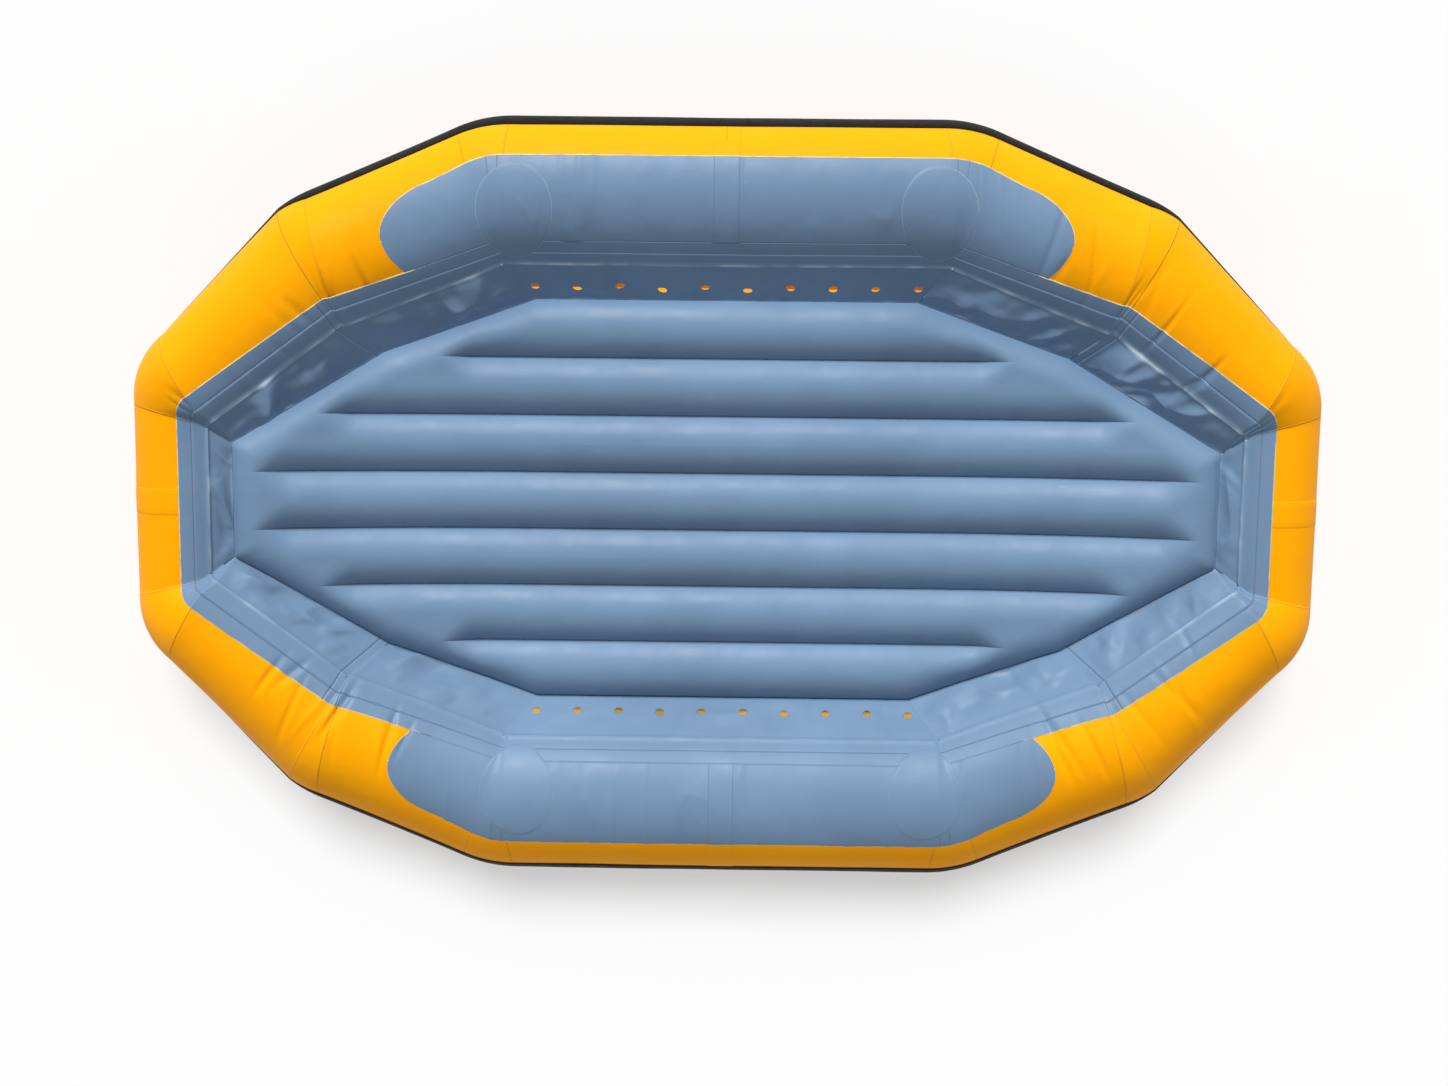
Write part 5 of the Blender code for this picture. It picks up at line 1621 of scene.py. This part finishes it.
    def flap(self, side: Side) -> Piece:
        """Drain flap behind the holes: from the tube to the floor's wall, sagging between them.

        Args:
            side: Long side.

        Returns:
            The piece.
        """
        place = np.zeros(1)
        top = self.ring.surface(place, np.radians([self.flap_angle]), self.flap_lift)[0]
        foot = self.ring.foot(place)[0] + np.array([0.0, self.flap_foot[0], -self.flap_foot[1]])
        share = np.linspace(0.0, 1.0, 17)[None, :, None]
        x = np.linspace(-self.flap_half_length, self.flap_half_length, 121)[:, None]
        grid = np.broadcast_to(blend(top, foot, share), (len(x), share.shape[1], 3)).copy()
        grid[..., 0] = x
        sag = self.flap_sag + self.flap_ripple * layered_noise(x / 0.08, share[..., 0] * 1.5, 71)
        grid[..., 2] -= sag * np.sin(math.pi * share[..., 0])
        grid[..., 1] *= side.value
        # Its fabric is the darkened copy of the tube fabric: painted shade.
        made = closed_sheet(grid, grid - np.array([0.0, 0.0, self.thickness])).to_object(
            f"drain_flap_{side.label}", self.dress.flap)
        return taut_sheet(made, grid)

    def build(self) -> list[Piece]:
        """Build the four curtains and the two drain flaps."""
        made = [self.panel(name, reach) for name, reach in reaches(self.joint, self.joint_gap).items()]
        return made + [self.flap(side) for side in Side]


@dataclass
class AirFloor:
    """Self-bailing air floor: seven channels, seams pinched at their ends, a rounded wall.

    The upper face is the rising edge line plus a crown that swells between the
    seams, part parabola and part ellipse, and falls to nothing at the outline.
    """

    ring: Ring
    dress: Wardrobe
    depth: float = 0.100
    channels: int = 7
    crown: float = 0.041
    flat_crown: float = 0.026809
    parabola_part: float = 0.68
    edge_fall: float = 0.078
    seam_half_lengths: tuple[float, ...] = (0.762, 1.084, 1.250)
    seam_fade: float = 0.085
    inset: float = 0.0006
    wall_bulge: float = 0.034
    wall_steps: int = 12
    wall_cloth: float = 0.0012
    wall_gap: float = 0.0004
    rows: int = 236
    channel_steps: int = 20
    end_crowding: float = 0.28
    pucker_depth: float = 0.0009
    dent_depth: float = 0.0011
    dent_fade: float = 0.05
    fittings: tuple[tuple[float, float, float], ...] = (  # place, radius and depth of the valves' pockets
        (-0.42, 0.0203, 0.0330), (0.42, 0.0163, 0.0170))

    def corners(self) -> list[Array]:
        """Plan corners of the floor in the first quarter."""
        return [foot - self.inset for foot in self.ring.feet]

    def half_length(self, y: Array) -> Array:
        """Distance from mid length to the outline at distances from the centre line."""
        x, levels = np.array(self.corners())[::-1].T
        return np.interp(np.abs(y), levels, x)

    def edge_distance(self, x: Array, y: Array) -> Array:
        """Distance in plan from points to the outline, the least over its sides.

        Args:
            x: Distances from mid length.
            y: Distances from the centre line.

        Returns:
            Distances, 0 outside.
        """
        side, shoulder, end = self.corners()
        x, y = np.abs(x), np.abs(y)
        distance = np.minimum(side[1] - y, end[0] - x)
        for first, last in ((side, shoulder), (shoulder, end)):
            run = (last - first) / np.linalg.norm(last - first)
            distance = np.minimum(distance, (x - first[0]) * run[1] - (y - first[1]) * run[0])
        return np.maximum(distance, 0.0)

    def columns(self) -> Array:
        """Columns of the floor's grid, close together at the seams.

        Returns:
            Rising distances from the centre line.
        """
        edge = self.corners()[0][1]
        pitch = 2.0 * self.ring.feet[0][1] / self.channels
        turn = np.sin(np.linspace(-math.pi / 2.0, math.pi / 2.0, self.channel_steps + 1))[:-1]
        middles = (np.arange(self.channels) - (self.channels - 1) / 2.0) * pitch
        y = (middles[:, None] + 0.5 * pitch * turn[None, :]).ravel()
        extra = [s * corner[1] for corner in self.corners()[1:] for s in (-1.0, 1.0)]
        y = np.concatenate([np.clip(y, -edge, edge), [edge], extra])
        return np.unique(np.round(y, 7))

    def swelling(self, share: Array) -> Array:
        """Rise from a seam (0) to the crest (1): part parabola, part quarter ellipse."""
        down = (1.0 - share) ** 2
        return 1.0 - self.parabola_part * down - (1.0 - self.parabola_part) * (1.0 - np.sqrt(1.0 - down))

    def crown_height(self, x: Array, y: Array) -> tuple[Array, Array]:
        """Crown over the seam lines, and the distance to the nearest seam.

        Args:
            x: Distances from mid length.
            y: Distances from the centre line.

        Returns:
            Heights and distances.
        """
        pitch = 2.0 * self.ring.feet[0][1] / self.channels
        place = y / pitch + self.channels / 2.0
        lengths = np.array([0.0, *self.seam_half_lengths, *self.seam_half_lengths[::-1], 0.0])
        nearest = np.clip(np.round(place).astype(int), 0, self.channels)
        aside = np.abs(place - nearest) * pitch
        beyond = np.abs(x) - lengths[nearest]
        depth = 1.0 - smooth_step(beyond, -self.seam_fade, 0.2 * self.seam_fade)
        width = 0.5 * pitch * (0.35 + 0.65 * depth)
        valley = 1.0 - self.swelling(np.minimum(aside / width, 1.0))
        outer = (nearest == 0) | (nearest == self.channels)
        valley = np.where(outer, 0.0, valley * depth)
        fall = self.swelling(np.clip(self.edge_distance(x, y) / self.edge_fall, 0.0, 1.0))
        gap = np.hypot(aside, np.maximum(beyond, 0.0))
        gap = np.where(outer, 1.0, gap)
        return self.crown * (1.0 - valley) * fall, gap

    def build(self) -> Piece:
        """Build the floor as one closed form, with the cloth round its wall.

        Returns:
            The floor.
        """
        y = self.columns()
        half = np.linspace(-1.0, 1.0, self.rows + 1)
        share = (1.0 - self.end_crowding) * half + self.end_crowding * np.sin(half * math.pi / 2.0)
        x = share[:, None] * self.half_length(y)[None, :]
        y2 = np.broadcast_to(y[None, :], x.shape)
        crown, gap = self.crown_height(x, y2)
        edge = self.ring.floor_edge(x)
        fall = np.clip(self.edge_distance(x, y2) / self.dent_fade, 0.0, 1.0)
        pucker = self.pucker_depth * bell(gap, 0.022) * lattice_noise(x / 0.028, y2 / 0.156, 61)
        dents = self.dent_depth * layered_noise(x / 0.26, y2 / 0.11, 63, 3)
        upper = np.stack([x, y2, edge + crown + (pucker + dents) * fall], axis=-1)
        lower = np.stack([x, y2, edge - self.depth - np.minimum(crown, self.flat_crown)], axis=-1)
        form = self.pillow(upper, lower, {"seam": nearness(gap) * 0.9})
        made = form.to_object("air_floor", self.dress.pad, "floor_top_skin", "floor_bottom_skin")
        for place, radius, depth in self.fittings:
            level = self.ring.floor_edge(place) - self.depth - self.flat_crown
            combined(made, rod(radius, (place, 0.0, level - 0.01), (place, 0.0, level + depth)))
        self.wall_strip(upper, lower)
        return made

    def wall_strip(self, upper: Array, lower: Array) -> None:
        """Strip of tube fabric bonded round the floor's bulging wall.

        Args:
            upper: Grid of the floor's upper face.
            lower: Grid of its lower face.
        """
        levels = np.linspace(0.02, 0.98, self.wall_steps * 2 + 1)
        lifts = (self.wall_gap + self.wall_cloth, self.wall_gap)
        faces = [self.wall(upper, lower, levels, lift) for lift in lifts]
        made = closed_sheet(*faces, wrap=True).to_object(
            "floor_wall_cloth", self.dress.tube, "floor_side_wall")
        taut_sheet(made, np.concatenate([faces[0], faces[0][:, :1]], axis=1))

    @staticmethod
    def border(grid: Array) -> Array:
        """Border points of a grid, once round."""
        return grid.reshape(-1, 3)[border_ids(*grid.shape[:2])]

    def wall(self, upper: Array, lower: Array, levels: Array, lift: float) -> Array:
        """Wall from the upper to the lower border, bulging outward as half an ellipse.

        Args:
            upper: Grid of the upper face.
            lower: Grid of the lower face.
            levels: How far down, 0 at the upper border to 1 at the lower.
            lift: Distance off the floor's own wall.

        Returns:
            Grid of points, levels by border points by three.
        """
        top, low = self.border(upper), self.border(lower)
        tangent = np.roll(top, -1, axis=0)[:, :2] - np.roll(top, 1, axis=0)[:, :2]
        normal = np.stack([tangent[:, 1], -tangent[:, 0]], axis=-1)
        normal = normal / np.linalg.norm(normal, axis=-1, keepdims=True)
        normal = normal * np.sign((normal * top[:, :2]).sum())
        bulge = self.wall_bulge * np.sqrt(np.clip(1.0 - (2.0 * levels - 1.0) ** 2, 0.0, 1.0)) + lift
        wall = blend(top[None], low[None], levels[:, None, None])
        wall[..., :2] += bulge[:, None, None] * normal[None]
        return wall

    def pillow(self, upper: Array, lower: Array, marks: dict[str, Array]) -> Form:
        """Closed form of two faces joined by the bulging wall.

        Args:
            upper: Grid of the upper face.
            lower: Grid of the lower face, over the same plan points.
            marks: Values for the upper grid's points, used on both faces.

        Returns:
            The form, with UV in metres.
        """
        rows, columns = upper.shape[:2]
        count = rows * columns
        border = border_ids(rows, columns)
        levels = 0.5 - 0.5 * np.cos(np.linspace(0.0, math.pi, self.wall_steps + 1)[1:-1])
        wall = self.wall(upper, lower, levels, 0.0)
        middle = 2 * count + np.arange(len(levels) * len(border)).reshape(len(levels), -1)
        ids = np.concatenate([border[None], middle, border[None] + count])
        after = np.roll(ids, -1, axis=1)
        sides = np.stack([ids[:-1], ids[1:], after[1:], after[:-1]], axis=-1).reshape(-1, 4)
        faces = np.concatenate([cell_faces(rows, columns), cell_faces(rows, columns, count)[:, ::-1], sides])
        points = np.concatenate([upper.reshape(-1, 3), lower.reshape(-1, 3), wall.reshape(-1, 3)])
        run = along_distance(self.border(upper)[:, None])[:, 0]
        wall_uv = np.stack(np.meshgrid(run, levels * self.depth), axis=-1).reshape(-1, 2)
        uv = np.concatenate([np.tile(upper[..., :2].reshape(-1, 2), (2, 1)), wall_uv])
        spare = np.zeros(len(wall_uv))
        both = {name: np.concatenate([np.tile(v.ravel(), 2), spare]) for name, v in marks.items()}
        return Form(points, faces, uv=uv, marks=both)


def rounded_profile(corners: Corners, radius: float, closed: bool) -> Array:
    """Profile with each corner replaced by a quadratic curve that the corner controls.

    Args:
        corners: Points (distance from the axis, height).
        radius: Wanted rounding, at most 0.45 of either side.
        closed: Whether the last corner joins the first.

    Returns:
        Points of the rounded profile.
    """
    points = np.array(corners, dtype=float)
    before, after = np.roll(points, 1, axis=0) - points, np.roll(points, -1, axis=0) - points
    sizes = [np.linalg.norm(step, axis=1, keepdims=True) for step in (before, after)]
    reach = np.minimum(radius, 0.45 * np.minimum(*sizes))
    start, end = points + before / sizes[0] * reach, points + after / sizes[1] * reach
    t = np.linspace(0.0, 1.0, 5)[None, :, None]
    curve = (1.0 - t) ** 2 * start[:, None] + 2.0 * t * (1.0 - t) * points[:, None] + t ** 2 * end[:, None]
    if closed:
        return curve.reshape(-1, 2)
    return np.concatenate([points[:1], curve[1:-1].reshape(-1, 2), points[-1:]])


def lathed(profile: Array, place: Matrix, closed: bool, rib: tuple[float, int, float] | None = None,
           sides: int = 72) -> Form:
    """Turn a profile round an axis: radius times (cos, sin) of the turn, and the height.

    Args:
        profile: Points (distance from the axis, height).
        place: Matrix from the fitting's own frame.
        closed: Whether the profile is a loop, or runs from axis to axis.
        rib: Depth and number of ribs round, and the radius from which they stand.
        sides: Number of facets round.

    Returns:
        The closed form.
    """
    turn = np.linspace(0.0, 2.0 * math.pi, sides, endpoint=False)
    radius = profile[:, :1] + 0.0 * turn[None, :]
    if rib is not None:
        wave = 0.5 + 0.5 * np.cos(turn * rib[1])
        radius = radius - np.where(radius > rib[2], rib[0] * wave[None, :], 0.0)
    points = np.stack([radius * np.cos(turn), radius * np.sin(turn),
                       np.broadcast_to(profile[:, 1:], radius.shape)], axis=-1)
    rows = len(profile)
    faces = cell_faces(rows, sides, wrap=True)
    if closed:
        j = np.arange(sides)
        k, last = (j + 1) % sides, (rows - 1) * sides
        faces = np.concatenate([faces, np.stack([last + j, j, k, last + k], axis=-1)])
    matrix = np.array(place)
    world = points.reshape(-1, 3) @ matrix[:3, :3].T + matrix[:3, 3]
    return Form(world, faces)


@dataclass
class Valves:
    """Inflation valves of the chambers and the floor, and the floor's relief valve.

    Heights are measured outward from the seat on the fabric.
    """

    dress: Wardrobe
    chamber_seat: tuple[float, float, float] = (1.572405, 0.125, 0.20227)
    chamber_outward: tuple[float, float, float] = (0.906308, 0.0, -0.422618)
    floor_level: float = 0.070191
    valve_x: float = -0.42
    relief_x: float = 0.42
    flange_radius: float = 0.033
    flange_thickness: float = 0.0022
    flange_slope: float = 0.0012
    collar_radius: float = 0.0215
    collar_height: float = 0.0105
    bore_radius: float = 0.016
    seat_radius: float = 0.0115
    barrel_radius: float = 0.020
    barrel_depth: float = 0.020
    seat_thickness: float = 0.003
    bridge: tuple[float, float, float] = (0.036, 0.012, 0.0035)
    bridge_level: float = -0.00575
    stem_radius: float = 0.003
    guide_radius: float = 0.0033
    guide_reach: float = 0.004
    spool_lip: float = 0.002
    button_radius: float = 0.006
    button_top: float = 0.0066
    plug_radius: float = 0.0145
    plug_end: float = -0.0223
    cap_gap: float = 0.0006
    cap_wall: float = 0.0025
    cap_ribs: int = 24
    rib_depth: float = 0.0007
    grip: tuple[float, float, float] = (0.036, 0.005, 0.0056)
    grip_lift: float = 0.0012
    grip_round: float = 0.0011
    relief_flange_radius: float = 0.028
    relief_flange_thickness: float = 0.003
    relief_bore_radius: float = 0.012
    relief_barrel_radius: float = 0.016
    relief_depth: float = 0.016
    relief_bridge: tuple[float, float, float] = (0.028, 0.012, 0.003)
    relief_bridge_level: float = -0.0065
    disc_radius: float = 0.0155
    disc_top: float = 0.0053
    disc_stop_radius: float = 0.005
    disc_end: float = -0.0136
    pocket_depth: float = 0.033
    pocket_reach: float = 0.020
    touch: float = 0.0003
    edge_round: float = 0.0006
    bar_round: float = 0.0004
    sharp_angle: float = 50.0

    def places(self) -> dict[str, tuple[Array, Array]]:
        """Seat and outward direction of every inflation valve.

        Returns:
            The two vectors by the valve's name.
        """
        found = {}
        for quarter in Quarter:
            x, y = quarter.value
            found[quarter.label] = (np.array(self.chamber_seat) * np.array([x, y, 1.0]),
                                    np.array(self.chamber_outward) * np.array([x, 1.0, 1.0]))
        found["floor"] = (np.array([self.valve_x, 0.0, self.floor_level]), np.array([0.0, 0.0, -1.0]))
        return found

    @staticmethod
    def frame(seat: Array, outward: Array) -> Matrix:
        """Frame with its Z along the outward direction."""
        return Matrix.Translation(seat) @ Vector(outward).to_track_quat("Z", "Y").to_matrix().to_4x4()

    def crisp(self, piece: Piece) -> None:
        """Keep the edges of a smooth shaded piece sharp."""
        piece.data.set_sharp_from_angle(angle=math.radians(self.sharp_angle))

    def turned(self, name: str, node: str, corners: Corners, place: Matrix, body: str,
               closed: bool, ribbed_from: float | None = None) -> Piece:
        """One turned plastic piece that stands for a node.

        Args:
            name: Name of the piece.
            node: CAD node that it replaces.
            corners: Corners of its profile (distance from the axis, height).
            place: Frame of the valve.
            body: Body that it moves with.
            closed: Whether the profile is a loop.
            ribbed_from: Radius from which ribs stand, if any.

        Returns:
            The piece.
        """
        rib = None if ribbed_from is None else (self.rib_depth, self.cap_ribs, ribbed_from)
        profile = rounded_profile(corners, self.edge_round, closed)
        made = lathed(profile, place, closed, rib).to_object(
            name, self.dress.plastic, node, merge=HAIR, body=body)
        self.crisp(made)
        return made

    def spool(self, top: float, top_radius: float, low: float, low_radius: float) -> Corners:
        """Profile of a stem with flat heads, whose faces lie at the heights top and low."""
        lip, stem = self.spool_lip, self.stem_radius
        return [(0.0, top), (top_radius, top), (top_radius, top - lip), (stem, top - lip), (stem, low + lip),
                (low_radius, low + lip), (low_radius, low), (0.0, low)]

    def add_bridge(self, body: Piece, place: Matrix, size: tuple[float, float, float],
                   level: float) -> None:
        """Bar across the bore with a hole that guides the stem.

        Args:
            body: The valve's body.
            place: Its frame.
            size: Size of the bar.
            level: Height of its middle.
        """
        combined(body, rounded_bar(size, (0.0, 0.0, level), self.bar_round, place), "UNION")
        axis = place.to_3x3() @ Vector((0.0, 0.0, self.guide_reach))
        centre = place @ Vector((0.0, 0.0, level))
        combined(body, rod(self.guide_radius, centre - axis, centre + axis, sides=32))
        self.crisp(body)

    def inflation_valve(self, name: str, seat: Array, outward: Array) -> None:
        """Body with bridge, plunger and ribbed cap of one valve.

        Args:
            name: Name of the valve.
            seat: Point of the fabric under its middle.
            outward: Direction in which it faces.
        """
        place = self.frame(seat, outward)
        low, flange, collar = -self.barrel_depth, self.flange_thickness, self.collar_radius
        seat_top = low + self.seat_thickness
        body = self.turned(f"valve_housing_{name}", f"valve_body_{name}", [
            (self.flange_radius, self.touch), (self.flange_radius - self.flange_slope, flange),
            (collar, flange), (collar, self.collar_height),
            (self.bore_radius, self.collar_height), (self.bore_radius, seat_top),
            (self.seat_radius, seat_top), (self.seat_radius, low), (self.barrel_radius, low),
            (self.barrel_radius, self.touch)], place, BODY, True)
        self.add_bridge(body, place, self.bridge, self.bridge_level)
        stem = self.spool(self.button_top, self.button_radius, self.plug_end, self.plug_radius)
        self.turned(f"valve_stem_{name}", f"valve_plunger_{name}", stem, place, f"plunger_{name}", False)
        inner = collar + self.cap_gap
        outer = inner + self.cap_wall
        lid, skirt = self.collar_height + self.touch, flange + self.touch
        top = lid + self.cap_wall
        cap = self.turned(f"valve_lid_{name}", f"valve_cap_{name}", [
            (0.0, top), (outer - 0.0015, top), (outer, top - 0.001), (outer, skirt), (inner, skirt),
            (inner, lid), (0.0, lid)], place, f"cap_{name}", False, ribbed_from=inner + 0.001)
        grip = rounded_bar(self.grip, (0.0, 0.0, top + self.grip_lift), self.grip_round, place)
        combined(cap, grip, "UNION")
        self.crisp(cap)

    def relief_valve(self) -> None:
        """Body and lifting poppet of the floor's relief valve."""
        place = self.frame(np.array([self.relief_x, 0.0, self.floor_level]), np.array([0.0, 0.0, -1.0]))
        flange, bore = self.relief_flange_thickness, self.relief_bore_radius
        barrel = self.relief_barrel_radius
        body = self.turned("relief_housing", "relief_valve_body", [
            (self.relief_flange_radius, self.touch), (self.relief_flange_radius - self.flange_slope, flange),
            (bore, flange), (bore, -self.relief_depth), (barrel, -self.relief_depth), (barrel, self.touch)],
            place, BODY, True)
        self.add_bridge(body, place, self.relief_bridge, self.relief_bridge_level)
        disc = self.spool(self.disc_top, self.disc_radius, self.disc_end, self.disc_stop_radius)
        self.turned("relief_disc", "relief_poppet", disc, place, "relief_poppet", False)

    def build(self) -> int:
        """Build every valve.

        Returns:
            Their number.
        """
        places = self.places()
        for name, (seat, outward) in places.items():
            self.inflation_valve(name, seat, outward)
        self.relief_valve()
        return len(places) + 1

    def pocket(self, tube: Piece, name: str) -> None:
        """Sink the hole for a chamber's valve into its tube."""
        seat, outward = self.places()[name]
        combined(tube, rod(self.barrel_radius + self.touch, seat - self.pocket_depth * outward,
                           seat + self.pocket_reach * outward))


@dataclass
class Studio:
    """Pale floor, soft lamps and the camera above the raft."""

    floor_half: float = 30.0
    camera_place: tuple[float, float, float] = (0.0484, 0.4100, 4.6144)
    camera_turn: tuple[float, float, float] = (-0.1179, 0.0122, 0.0106)
    lens: float = 40.13
    key_strength: float = 3.75
    key_from: tuple[float, float, float] = (-0.15, 1.0, 0.72)
    key_angle: float = 22.0
    floor_lamp_strength: float = 2.68
    floor_lamp_from: tuple[float, float, float] = (-0.03, 0.66, 1.0)
    floor_lamp_angle: float = 24.0
    world_strength: float = 0.44
    floor_glow: float = 0.42
    floor_colour: float = 0.86

    def floor(self) -> Piece:
        """Paper floor that glows a little towards the camera, which keeps its shadow soft.

        Returns:
            The floor.
        """
        mesh = bpy.data.meshes.new("studio_floor")
        signs = ((-1, -1), (1, -1), (1, 1), (-1, 1))
        corners = [(x * self.floor_half, y * self.floor_half, 0.0) for x, y in signs]
        mesh.from_pydata(corners, [], [(0, 1, 2, 3)])
        floor = linked("studio_floor", mesh)
        r = Recipe("studio_floor_paper")
        r.finish((self.floor_colour,) * 3, 0.9, Specular_IOR_Level=0.1)
        path = r.node("ShaderNodeLightPath", {})
        seen = r.math("MAXIMUM", path.outputs["Is Camera Ray"], path.outputs["Is Glossy Ray"])
        seen = r.math("MAXIMUM", seen, path.outputs["Is Transmission Ray"])
        glow = r.node("ShaderNodeEmission", {"Color": (1.0, 1.0, 1.0), "Strength": 1.0})
        share = r.math("MULTIPLY", seen, self.floor_glow)
        mixed = r.node("ShaderNodeMixShader", {0: share, 1: r.shader.outputs[0], 2: glow.outputs[0]})
        r.tree.links.new(mixed.outputs[0], r.tree.nodes["Material Output"].inputs["Surface"])
        mesh.materials.append(r.material)
        return floor

    def lamp(self, name: str, strength: float, source: tuple[float, float, float], angle: float,
             floor: Piece, lights_floor: bool) -> Piece:
        """Soft distant lamp that lights only the floor, or everything but the floor.

        Args:
            name: Name of the lamp.
            strength: Its strength.
            source: Direction from which it shines.
            angle: Its width in degrees.
            floor: The studio floor.
            lights_floor: Whether it lights the floor alone.

        Returns:
            The lamp.
        """
        data = bpy.data.lights.new(name, "SUN")
        data.energy, data.angle = strength, math.radians(angle)
        lamp = linked(name, data)
        lamp.location = Vector(source) * 5.0
        lamp.rotation_euler = (-Vector(source)).to_track_quat("-Z", "Y").to_euler()
        receivers = bpy.data.collections.new(f"{name}_receivers")
        receivers.objects.link(floor)
        receivers.collection_objects[0].light_linking.link_state = "INCLUDE" if lights_floor else "EXCLUDE"
        lamp.light_linking.receiver_collection = receivers
        return lamp

    def build(self, air_floor: Piece) -> None:
        """Set up the floor and the lamps, the world and the camera.

        Args:
            air_floor: The raft's floor, whose channels alone shade the key lamp.
        """
        floor = self.floor()
        key = self.lamp("key_lamp", self.key_strength, self.key_from, self.key_angle, floor, False)
        blockers = bpy.data.collections.new("key_lamp_blockers")
        blockers.objects.link(air_floor)
        key.light_linking.blocker_collection = blockers
        self.lamp("floor_lamp", self.floor_lamp_strength, self.floor_lamp_from, self.floor_lamp_angle, floor,
                  True)
        self.surround()
        self.camera()

    def surround(self) -> None:
        """White surroundings, dimmer as a light than as a background."""
        world = bpy.data.worlds.new("studio_world")
        world.use_nodes = True
        nodes, links = world.node_tree.nodes, world.node_tree.links
        sky = nodes["Background"]
        sky.inputs["Color"].default_value = (1.0, 1.0, 1.0, 1.0)
        path = nodes.new("ShaderNodeLightPath")
        pick = nodes.new("ShaderNodeMapRange")
        pick.inputs["To Min"].default_value = self.world_strength
        pick.inputs["To Max"].default_value = 1.0
        links.new(path.outputs["Is Camera Ray"], pick.inputs["Value"])
        links.new(pick.outputs[0], sky.inputs["Strength"])
        bpy.context.scene.world = world

    def camera(self) -> None:
        """Camera of the photograph, and the view transform."""
        data = bpy.data.cameras.new("photo_camera")
        data.lens, data.sensor_width, data.sensor_fit = self.lens, 36.0, "HORIZONTAL"
        camera = linked("photo_camera", data)
        camera.location = self.camera_place
        camera.rotation_euler = Euler(self.camera_turn, "XYZ")
        bpy.context.scene.camera = camera
        bpy.context.scene.view_settings.view_transform = "Standard"


def dress_hidden_parts(frame: dict[str, object], dress: Wardrobe) -> int:
    """Give the bulkheads and webs inside the air spaces their fabric.

    Args:
        frame: The loaded frame.
        dress: The finished materials.

    Returns:
        Number of nodes dressed.
    """
    done = 0
    for name, item in frame["nodes"].items():
        for start, coat in (("bulkhead", dress.tube), ("floor_web", dress.pad)):
            if name.startswith(start):
                for holder in item.material_slots:
                    holder.material = coat.material
                done += 1
    return done


def main() -> None:
    """Build the raft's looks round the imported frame."""
    logging.basicConfig(level=logging.INFO, format="%(name)s: %(message)s")
    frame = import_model()
    ring = Ring()
    relief = Relief(ring)
    dress = Wardrobe()
    LOG.info("hidden fabric dressed: %d", dress_hidden_parts(frame, dress))
    valves = Valves(dress)
    seats = [valves.places()[quarter.label] for quarter in Quarter]
    pieces = Tubes(ring, relief, dress, seats).build()
    for quarter in Quarter:
        valves.pocket(bpy.data.objects[f"tube_{quarter.label}"], quarter.label)
    floor = AirFloor(ring, dress).build()
    pieces += [floor, *Trim(ring, relief, dress).build(), *Curtains(ring, relief, dress).build()]
    for piece in pieces:
        LOG.info("%s: %d faces", piece.name, len(piece.data.polygons))
    LOG.info("valves: %d", valves.build())
    Studio().build(floor)
    bpy.context.view_layer.update()


if __name__ == "__main__":
    main()
